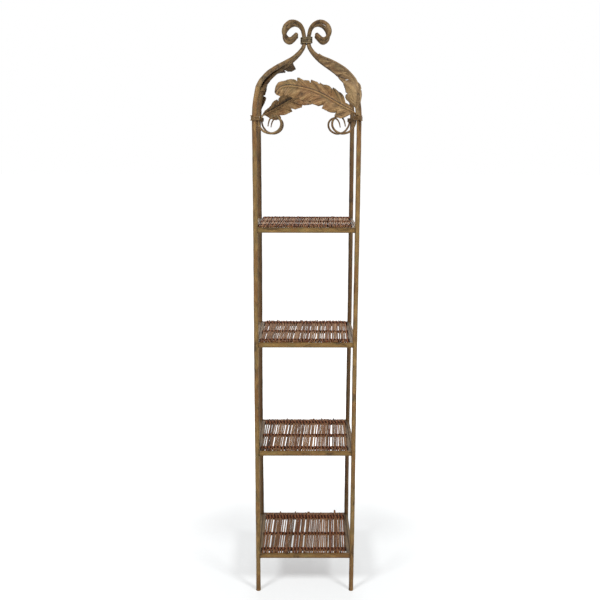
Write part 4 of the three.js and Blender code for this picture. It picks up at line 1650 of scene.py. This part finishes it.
@dataclass
class Leaves:
    """Two leaves that arch over the openings and two folded over crown bars."""

    frame: Frame
    crown: Crown
    arch_length: float = 250.0
    arch_rise: float = 97.0
    arch_stand: float = 7.0
    arch_lean: float = 47.0
    arch_hang: float = 11.0
    arch_start: float = -0.061
    arch_foot: float = 0.1
    stem_tip: float = 0.9
    sheath_ride: float = 12.4
    sheath_tip_ride: float = 8.6
    sheath_levels: Triple = (0.1, 0.36, 0.7)
    sheath_share: float = 0.78
    sheath_base_turn: float = 70.0
    rear_droop: tuple[float, float] = (20.0, 25.0)
    front_droop: tuple[float, float] = (30.0, 18.0)
    knee: float = 6.6
    tear: Tear = Tear(0.326, 0.342, -0.86, -0.5)
    rows: int = 300
    arch_shares: Pairs = (
        (0, 0), (0, 0.11), (0.022, 0.18), (0.07, 0.25), (0.14, 0.34), (0.25, 0.49), (0.38, 0.68),
        (0.53, 0.85), (0.685, 0.95), (0.85, 1), (0.95, 0.93), (1, 0.74),
    )  # fmt: skip

    def stem(self, line: Array, thinning: Array, worn: float) -> Strand:
        """A stem that thins towards its tip.

        Args:
            line: its line.
            thinning: 0 where it is at its full thickness, 1 where it is thinnest.
            worn: how bright it is with wear and painted highlight.

        Returns:
            The strand.
        """
        girth = self.frame.stem_radius + (self.stem_tip - self.frame.stem_radius) * thinning
        return Strand(line, eased_ends(girth, line, 1.0), worn=worn)

    def arch_path(self) -> Path:
        """The spine of the front arch leaf, from its tie.

        Returns:
            The path.
        """
        frame = self.frame
        start = frame.span_x / 2 - frame.rod_seat
        foot = frame.tie_level + frame.gap / 2
        points = []
        for inward, up in self.arch_shares:
            front = -frame.span_y / 2 - self.arch_stand * min(1.0, inward / 0.07)
            points.append(np.array([start - inward * self.arch_length, front, foot + up * self.arch_rise]))
        return Path(points)

    def arch(self, name: str, upper: Half, turn: float) -> Blade:
        """One arch leaf.

        Args:
            name: the CAD node that it stands for.
            upper: its upper half.
            turn: its turn about the Z axis.

        Returns:
            The blade.
        """
        path = self.arch_path()
        shares = self.arch_foot + (1 - self.arch_foot) * np.linspace(self.arch_start, 1, self.rows)
        way = path.way(shares)
        forward = np.array([0.0, -1.0, 0.0])
        up = unit(np.cross(way, forward))
        lean, hang = math.radians(self.arch_lean), math.radians(self.arch_hang)
        left = up * math.cos(lean) - forward * math.sin(lean)
        right = -up * math.cos(hang) + forward * math.sin(hang)
        stem_shares = np.linspace(0, 0.86, 120)
        line = path.at(stem_shares) + np.outer(ramp(stem_shares, 0.1, 0.1), forward) * 0.9
        stem = self.stem(line, ramp(stem_shares, 0.1, 0.5) ** 0.8, 0.2)
        stations = Stations(path.at(shares), way, left, right)
        shape = {"sweep": 0.25, "turn": turn, "start": self.arch_start}
        return Blade(f"{name}_blade", name, upper, ARCH_LOWER, stations, stem, **shape)

    def sheath(self, name: str, front_half: Half, turn: float) -> Blade:
        """One leaf folded over a crown bar.

        Args:
            name: the CAD node that it stands for.
            front_half: the half on the front side of the front right bar.
            turn: the turn about the Z axis from the front right corner.

        Returns:
            The blade.
        """
        frame = self.frame
        starts = []
        for share in self.sheath_levels:
            level = frame.tie_level + share * (frame.joint_level - frame.tie_level)
            starts.append(np.array([frame.reach - float(frame.lean_at(level)), 0.0, level]))
        bar = Path([*starts, *self.crown.sweep_points()])
        lead = float(np.linalg.norm(starts[1] - starts[0]))
        run = self.sheath_share * (bar.length - lead)
        along = np.linspace(-lead / run, 1, self.rows)

        def ridge(shares: Array) -> tuple[Array, Array, Array]:
            """The leaf's ridge over the bar.

            Args:
                shares: places along the leaf.

            Returns:
                The ridge's points there, its ways along and its ways out from the bar.
            """
            places = (lead + shares * run) / bar.length
            way = bar.way(places)
            side = np.array([0.0, 1.0, 0.0])
            angle = math.radians(self.sheath_base_turn) * np.clip(1 - shares / 0.3, 0, 1.1)
            ride = unit(np.cross(side, way)) * np.cos(angle)[:, None] - side * np.sin(angle)[:, None]
            close = ramp(shares, 0.72, 0.28)
            sink = (self.sheath_ride - self.sheath_tip_ride) * close * close * (3 - 2 * close)
            stand = self.sheath_ride - sink
            return bar.at(places) + ride * stand[:, None], way, ride

        centre, way, ride = ridge(along)
        flat = unit(np.cross(way, ride))
        rear, front = (
            np.radians(foot + more * along)[:, None] for foot, more in (self.rear_droop, self.front_droop)
        )
        left = flat * np.cos(rear) - ride * np.sin(rear)
        right = -flat * np.cos(front) - ride * np.sin(front)
        x, y = FRONT_RIGHT.post(frame)
        angle = FRONT_RIGHT.angle(frame)
        foot = turned(np.array([[x, y - frame.rod_seat, frame.tie_level + frame.gap / 2]]), -angle)[0]
        knee = np.array([foot[0], foot[1], frame.tie_level + self.knee])
        shares = np.linspace(0, 1, 160)
        line = Path([foot, knee, *ridge(np.linspace(0, 0.85, 14))[0]]).at(shares)
        stem = self.stem(line, ramp(shares, 0.2, 0.5), 0.1)
        # Both sheaths wear darker copies of the leaf paint, painted shade, the back one darker
        at_back = turn > 0
        return Blade(
            f"{name}_blade",
            name,
            SHEATH_REAR,
            front_half,
            Stations(centre, way, left, right),
            stem,
            sweep=0.2,
            turn=angle + turn,
            start=-lead / run,
            wave=0.6,
            lift=1.3,
            veins=17.0,
            slant=1.5,
            emboss=0.8,
            vein_shading=0.6,
            rim=4.0,
            rim_shade=(0.6, 1.0),
            pale_foot=0.0 if at_back else 0.7,
            paint=Iron.SHADE_LEAF if at_back else Iron.SHADED_SHEATH,
            tear=None if at_back else self.tear,
        )

    def build(self, forge: Forge) -> None:
        """Makes and seats the four leaves.

        Args:
            forge: the trees and finishes.
        """
        self.arch("front_arch_leaf", ARCH_UPPER, 0.0).build(forge)
        self.arch("back_arch_leaf", BACK_UPPER, math.pi).build(forge)
        self.sheath("right_sheath_leaf", RIGHT_FRONT, 0.0).build(forge)
        self.sheath("left_sheath_leaf", LEFT_FRONT, math.pi).build(forge)


# Shelves


class Side(Enum):
    """The four sides of a shelf frame."""

    FRONT = "front"
    BACK = "back"
    LEFT = "left"
    RIGHT = "right"


# The back rails' darker paint is painted shade
RAIL_PAINT = {
    Side.FRONT: Iron.FRONT_RAIL,
    Side.BACK: Iron.SHADED_BACK_RAIL,
    Side.LEFT: Iron.SIDE_RAIL,
    Side.RIGHT: Iron.SIDE_RAIL,
}


@dataclass
class ShelfRails:
    """Four flat bars welded between the posts at each shelf."""

    frame: Frame
    height: float = 17.0
    width: float = 10.0
    bevel: float = 1.6
    post_lap: float = 1.2
    facet: float = 3.2
    weld: float = 1.1
    weld_run: float = 5.0
    weld_stops: tuple[float, ...] = (0.0, 1.5, 3.0, 5.0, 8.0)
    ledge: float = 13.0
    ledge_depth: float = 3.0
    ledge_drop: float = 1.7
    ledge_bevel: float = 0.8

    def section(self) -> Array:
        """The bar's section, with more points on the tall faces, so that dents show there.

        Returns:
            The section's points, across and up.
        """
        x, y, b = self.width / 2 - self.bevel, self.height / 2 - self.bevel, self.bevel
        section = []
        for cx, cy, start in ((x, y, 0), (-x, y, 90), (-x, -y, 180), (x, -y, 270)):
            for angle in (0, 30, 60, 90):
                a = math.radians(start + angle)
                section.append((cx + b * math.cos(a), cy + b * math.sin(a)))
        ring = []
        for (x0, y0), (x1, y1) in zip(section, section[1:] + section[:1]):
            parts = max(1, round(math.hypot(x1 - x0, y1 - y0) / self.facet))
            ring += [(x0 + (x1 - x0) * k / parts, y0 + (y1 - y0) * k / parts) for k in range(parts)]
        return np.array(ring)

    def with_ledge(self, ring: Array, inward: int) -> Array:
        """The section with a thin ledge under the mat's edge.

        Args:
            ring: the bar's section.
            inward: the sign of the section's first axis that points into the shelf.

        Returns:
            The section with the ledge's points put in.
        """
        start, soft = self.width / 2, self.ledge_bevel
        end = start + self.ledge
        high = self.height / 2 - self.ledge_drop
        low = high - self.ledge_depth
        steps = [start + self.ledge * k / 4 for k in (0, 1, 2, 3)]
        points = [(x, high) for x in steps] + [(end - soft, high), (end, high - soft), (end, low + soft)]
        points += [(end - soft, low)] + [(x, low) for x in reversed(steps)]
        shelf = np.array(points) * np.array([inward, 1])
        if inward > 0:
            shelf = shelf[::-1]
        face = (np.sign(ring[:, 0]) == inward) & (np.abs(np.abs(ring[:, 0]) - start) < 0.01)
        kept = ring[~(face & (ring[:, 1] < high + 0.01) & (ring[:, 1] > low - 0.01))]
        face = (np.sign(kept[:, 0]) == inward) & (np.abs(np.abs(kept[:, 0]) - start) < 0.01)
        before = face & (kept[:, 1] >= high if inward < 0 else kept[:, 1] <= low)
        place = int(np.flatnonzero(before)[-1]) + 1
        return np.vstack([kept[:place], shelf, kept[place:]])

    def bar(self, name: str, side: Side, level: float) -> bpy.types.Mesh:
        """One rail's mesh, with a weld's swell at both ends.

        Args:
            name: the mesh's name.
            side: the shelf's side.
            level: the rail's top.

        Returns:
            The mesh.
        """
        frame = self.frame
        is_side = side in (Side.LEFT, Side.RIGHT)
        reach = (frame.span_y if is_side else frame.span_x) / 2 - frame.post_radius + self.post_lap
        ends = reach - np.array(self.weld_stops)
        stops = np.concatenate([-ends, np.linspace(-ends[-1] + 4, ends[-1] - 4, 56), ends[::-1]])
        half_w, half_h = self.width / 2, self.height / 2
        ring = self.section()
        if is_side:
            ring = self.with_ledge(ring, 1 if side is Side.RIGHT else -1)
        from_end = reach - np.abs(stops)
        grow = (np.exp(-from_end / (self.weld_run / 3)) * (self.weld / half_w))[:, None]
        across = ring[:, 0] + np.clip(ring[:, 0], -half_w, half_w) * grow
        up = ring[:, 1] * (1 + grow * half_w / half_h)
        points = np.stack([np.broadcast_to(stops[:, None], up.shape), across, up], axis=-1).reshape(-1, 3)
        if is_side:
            points = turned(points, math.pi / 2)
        x, y = {Side.FRONT: (0, -1), Side.BACK: (0, 1), Side.LEFT: (-1, 0), Side.RIGHT: (1, 0)}[side]
        points = points + np.array([x * frame.span_x / 2, y * frame.span_y / 2, level - half_h])
        count = len(ring)
        faces = grid_faces(len(stops), count, closed=True)
        faces.append(tuple(range(count - 1, -1, -1)))
        faces.append(tuple(range((len(stops) - 1) * count, len(stops) * count)))
        # Painted shade at the corners, in the ledge's seam and on the ledge under the mat, and dark dirt at the
        # welds
        away = np.abs(ring[:, 0]) - half_w
        corner = np.min(np.abs(np.abs(ring) - np.array([half_w, half_h])), axis=1) < 0.2
        corner &= (-away < 2 * self.bevel) & (half_h - np.abs(ring[:, 1]) < 2 * self.bevel)
        dirt_and_shade = 0.5 * corner + bell(away - 0.4, 1.6) * is_side + 0.4 * (away > 0.5)
        dirt_and_shade = np.clip(dirt_and_shade[None, :] + 0.7 * np.exp(-from_end / 3.0)[:, None], 0, 1)
        return closed_mesh(name, points, faces, {"shade_and_dirt": dirt_and_shade})

    def build(self, forge: Forge, shelf: int, level: float) -> None:
        """Makes and seats the rails of one shelf.

        Args:
            forge: the trees and finishes.
            shelf: the shelf's number in the part's names.
            level: the rails' top.
        """
        for side in Side:
            name = f"shelf_{shelf}_{side.value}_rail"
            made = piece_object(f"{name}_bar", self.bar(name, side, level))
            finish = forge.paint[RAIL_PAINT[side]]
            values = {"Dent Depth": 0.22 * MM, "Dent Size": 13 * MM, "Finish": finish}
            seat(forge.settle(made, forge.dent_tree, values), Slot.IRON, name)


class Place(Enum):
    """Where a band crosses a shelf."""

    FRONT = "front"
    MIDDLE = "middle"
    BACK = "back"


@dataclass(frozen=True)
class Band:
    """A twined band: its place, its share of the depth from the middle and its rows."""

    place: Place
    share: float
    rows: int


@dataclass
class Wicker:
    """The twigs of one shelf and the three bands that are twined through them."""

    frame: Frame
    counts: tuple[int, ...] = (49, 49, 49, 50)
    girths: tuple[float, ...] = (2.9, 2.8, 2.96, 2.92)
    gaps: tuple[float, ...] = (3.5, 2.6, 2.0, 3.0)
    calm: tuple[float, ...] = (0.25, 0.1, 0.0, 0.2)
    seeds: tuple[int, ...] = (12, 20, 26, 33)
    highlight_strength: tuple[float, ...] = (0.5, 0.6, 0.75, 1.0)
    front_shifts: tuple[float, ...] = (0.0, -4.0, -6.0, 0.0)
    pitch: float = 6.0
    slant: float = -0.03
    bow: float = -0.13
    front_end: float = -153.5
    back_end: float = 143.5
    scatter: float = 5.0
    lift: float = 3.0
    bands: tuple[Band, ...] = (
        Band(Place.FRONT, -0.43, 4),
        Band(Place.MIDDLE, -0.06, 3),
        Band(Place.BACK, 0.362, 7),
    )
    row_gap: float = 3.2
    swing: float = 3.7
    strand_girth: float = 1.95
    band_lap: float = 7.0
    stray_count: int = 4
    stray_girth: float = 2.4
    stub: tuple[float, float] = (118.0, 8.5)
    stub_girth: float = 3.7
    stub_tone: float = 0.64

    def build(self, forge: Forge, shelf: int, index: int, level: float) -> None:
        """Makes and seats one shelf's twigs and bands.

        Args:
            forge: the trees and finishes.
            shelf: the shelf's number in the part's names.
            index: its place from the bottom.
            level: the rails' top.
        """
        height = level + self.frame.gap + self.lift
        values = {
            "Count": self.counts[index],
            "Pitch": self.pitch * MM,
            "Start": self.front_end * MM,
            "End": self.back_end * MM,
            "Scatter": self.scatter * MM,
            "Girth": self.girths[index] * MM,
            "Gap": self.gaps[index] * MM,
            "Slant": self.slant,
            "Bow": self.bow,
            "Highlight Strength": self.highlight_strength[index],
            "Calm": self.calm[index],
            "Height": height * MM,
            "Seed": self.seeds[index],
            "Finish": forge.bark[Bark.TWIG],
        }
        base = piece_object(f"shelf_{shelf}_twigs", bpy.data.meshes.new("twigs"))
        seat(forge.settle(base, forge.mat_tree, values), Slot.TWIG, f"shelf_{shelf}_mat")
        for number, band in enumerate(self.bands):
            depth = band.share * self.frame.span_y
            if band.place is Place.FRONT:
                depth += self.front_shifts[index]
            values = {
                "Rows": band.rows,
                "Row Gap": self.row_gap * MM,
                "Width": (self.counts[index] * self.pitch + self.band_lap) * MM,
                "Pitch": self.pitch * MM,
                "Swing": self.swing * MM,
                "Girth": self.strand_girth * MM,
                "Centre": (-self.slant * depth * MM, depth * MM, height * MM),
                "Seed": 3 + 5 * index + number,
                "Finish": forge.bark[Bark.WEFT],
            }
            name = f"shelf_{shelf}_{band.place.value}_binding"
            base = piece_object(f"{name}_strands", bpy.data.meshes.new("strands"))
            seat(forge.settle(base, forge.twine_tree, values), Slot.WEFT, name)
        self.strays(forge, shelf, index, height)

    def strays(self, forge: Forge, shelf: int, index: int, height: float) -> None:
        """Adds a few loose twig ends that lie over the back rail.

        Args:
            forge: the trees and finishes.
            shelf: the shelf's number in the part's names.
            index: its place from the bottom.
            height: the height of the twigs' middles.
        """
        draw = random.Random(41 + index)
        spots = [(draw.uniform(-140, 140), draw.uniform(0.4, 1.4)) for _ in range(self.stray_count)]
        if index == 0:
            spots.append(self.stub)
        strands = []
        for x, rise in spots:
            y = np.linspace(96.0, 152.0 + draw.uniform(-2, 2), 24)
            lean = draw.uniform(-0.08, 0.05)
            climb = height + 1.2 + rise * ramp(y, 112.0, 40.0) ** 1.5
            line = np.column_stack([x + lean * (y - 110.0), y, climb])
            is_stub = (x, rise) == self.stub
            girth = np.full(len(y), self.stub_girth if is_stub else self.stray_girth)
            tone = self.stub_tone if is_stub else draw.random()
            strands.append(Strand(line, eased_ends(girth, line, 1.0), tone))
        seat(forge.rods(f"shelf_{shelf}_stray_twigs", strands, forge.bark[Bark.TWIG], sides=9), Slot.TWIG)


# The studio


@dataclass
class Studio:
    """A pale floor, soft lamps and the photograph's camera."""

    camera_place: Triple = (-0.0314, -2.7155, 1.5889)
    pitch: float = 0.2047
    yaw: float = -0.0046
    roll: float = 0.0026
    lens: float = 47.59
    floor_half: float = 30.0
    floor_glow: float = 0.49
    floor_tone: Tone = (0.47, 0.482, 0.486, 1.0)
    floor_white: Tone = (0.9, 0.9, 0.9, 1.0)
    world_tone: Tone = (0.95, 0.985, 1.0, 1.0)
    world_strength: float = 0.18
    lamp_aim: Triple = (0.0, 0.0, 0.9)
    lamps: tuple[tuple[str, Triple, float, float], ...] = (
        ("left_lamp", (-2.5, -2.9, 3.9), 1.2, 154.0),
        ("right_lamp", (2.5, -2.9, 3.9), 1.2, 154.0),
        ("back_lamp", (0.0, 3.0, 3.3), 2.4, 50.0),
    )

    def camera(self) -> None:
        """Puts the camera where the photograph was taken from."""
        level = math.cos(self.pitch)
        forward = Vector((-math.sin(self.yaw) * level, math.cos(self.yaw) * level, -math.sin(self.pitch)))
        right = Vector((math.cos(self.yaw), math.sin(self.yaw), 0.0))
        up = right.cross(forward)
        c, s = math.cos(self.roll), math.sin(self.roll)
        right, up = right * c + up * s, up * c - right * s
        data = bpy.data.cameras.new("photo_camera")
        data.lens = self.lens
        data.sensor_width = 36.0
        data.clip_end = 200.0
        made = bpy.data.objects.new("photo_camera", data)
        turn = Matrix((right, up, -forward)).transposed().to_4x4()
        made.matrix_world = Matrix.Translation(self.camera_place) @ turn
        bpy.context.scene.collection.objects.link(made)
        bpy.context.scene.camera = made

    @staticmethod
    def _seen(w: Weaver) -> Out:
        """Tells the rays by which a surface is seen.

        Args:
            w: the material's weaver.

        Returns:
            1 where a ray comes from the camera, from a glossy surface or through glass.
        """
        rays = w.add("ShaderNodeLightPath").outputs
        kinds = ("Camera", "Glossy", "Transmission")
        camera, glossy, glass = (Out(w, rays[f"Is {kind} Ray"]) for kind in kinds)
        return w.math("MAXIMUM", w.math("MAXIMUM", camera, glossy), glass)

    def floor(self) -> None:
        """Lays the pale floor, which keeps the object's soft shadow and is white further out."""
        mesh = bpy.data.meshes.new("floor")
        h = self.floor_half
        mesh.from_pydata([(-h, -h, 0), (h, -h, 0), (h, h, 0), (-h, h, 0)], [], [(0, 1, 2, 3)])
        material, w, shader = bare_material("pale_floor")
        w.feed(w.mix(self._seen(w), self.floor_white, self.floor_tone), shader.inputs["Base Color"])
        shader.inputs["Roughness"].default_value = 1.0
        shader.inputs["Specular IOR Level"].default_value = 0.0
        where = w.out("ShaderNodeTexCoord", which="Object")
        away = w.out("ShaderNodeVectorMath", {0: where}, "Value", operation="LENGTH")
        glow = w.band(away, 0.3, 1.1) * (1.0 - self.floor_glow) + self.floor_glow
        emission = w.out("ShaderNodeEmission", {"Color": WHITE, "Strength": glow * self._seen(w)})
        both = w.out("ShaderNodeAddShader", {0: Out(w, shader.outputs[0]), 1: emission})
        w.feed(both, material.node_tree.nodes["Material Output"].inputs["Surface"])
        mesh.materials.append(material)
        made = piece_object("floor", mesh)

    def world(self) -> None:
        """Gives the world soft light, and white where it is seen."""
        world = bpy.data.worlds.new("studio")
        bpy.context.scene.world = world
        world.use_nodes = True
        w, nodes = Weaver(world.node_tree), world.node_tree.nodes
        ground = nodes["Background"]
        ground.inputs["Color"].default_value = self.world_tone
        ground.inputs["Strength"].default_value = self.world_strength
        seen = w.out("ShaderNodeBackground", {"Color": WHITE, "Strength": 1.0})
        both = w.out("ShaderNodeMixShader", {0: self._seen(w), 1: Out(w, ground.outputs[0]), 2: seen})
        w.feed(both, nodes["World Output"].inputs["Surface"])

    def lamp(self, name: str, place: Triple, size: float, watts: float) -> None:
        """Adds one soft lamp that faces the object.

        Args:
            name: the lamp's name.
            place: where it hangs.
            size: its width in metres.
            watts: its power.
        """
        data = bpy.data.lights.new(name, "AREA")
        data.shape = "DISK"
        data.size = size
        data.energy = watts
        made = bpy.data.objects.new(name, data)
        made.location = place
        made.rotation_mode = "QUATERNION"
        made.rotation_quaternion = (Vector(self.lamp_aim) - Vector(place)).to_track_quat("-Z", "Y")
        bpy.context.scene.collection.objects.link(made)

    def build(self) -> None:
        """Sets up the whole studio."""
        self.camera()
        self.floor()
        self.world()
        for lamp in self.lamps:
            self.lamp(*lamp)
        bpy.context.scene.view_settings.view_transform = "Standard"


@dataclass
class Etagere:
    """The whole object."""

    frame: Frame = field(default_factory=Frame)

    def build(self) -> None:
        """Builds every sub-assembly in order."""
        forge, frame = Forge(), self.frame
        crown = Crown(frame)
        for part in (Posts(frame), crown, Wires(frame), Tendrils(frame), Leaves(frame, crown)):
            part.build(forge)
        rails, wicker = ShelfRails(frame), Wicker(frame)
        for index, level in enumerate(frame.shelf_levels):
            shelf = len(frame.shelf_levels) - index
            rails.build(forge, shelf, level)
            wicker.build(forge, shelf, index, level)


def main() -> None:
    """Loads the frame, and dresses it."""
    logging.basicConfig(level=logging.INFO, format="%(message)s")
    for spare in list(bpy.data.objects):
        bpy.data.objects.remove(spare)
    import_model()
    Studio().build()
    Etagere().build()


if __name__ == "__main__":
    main()
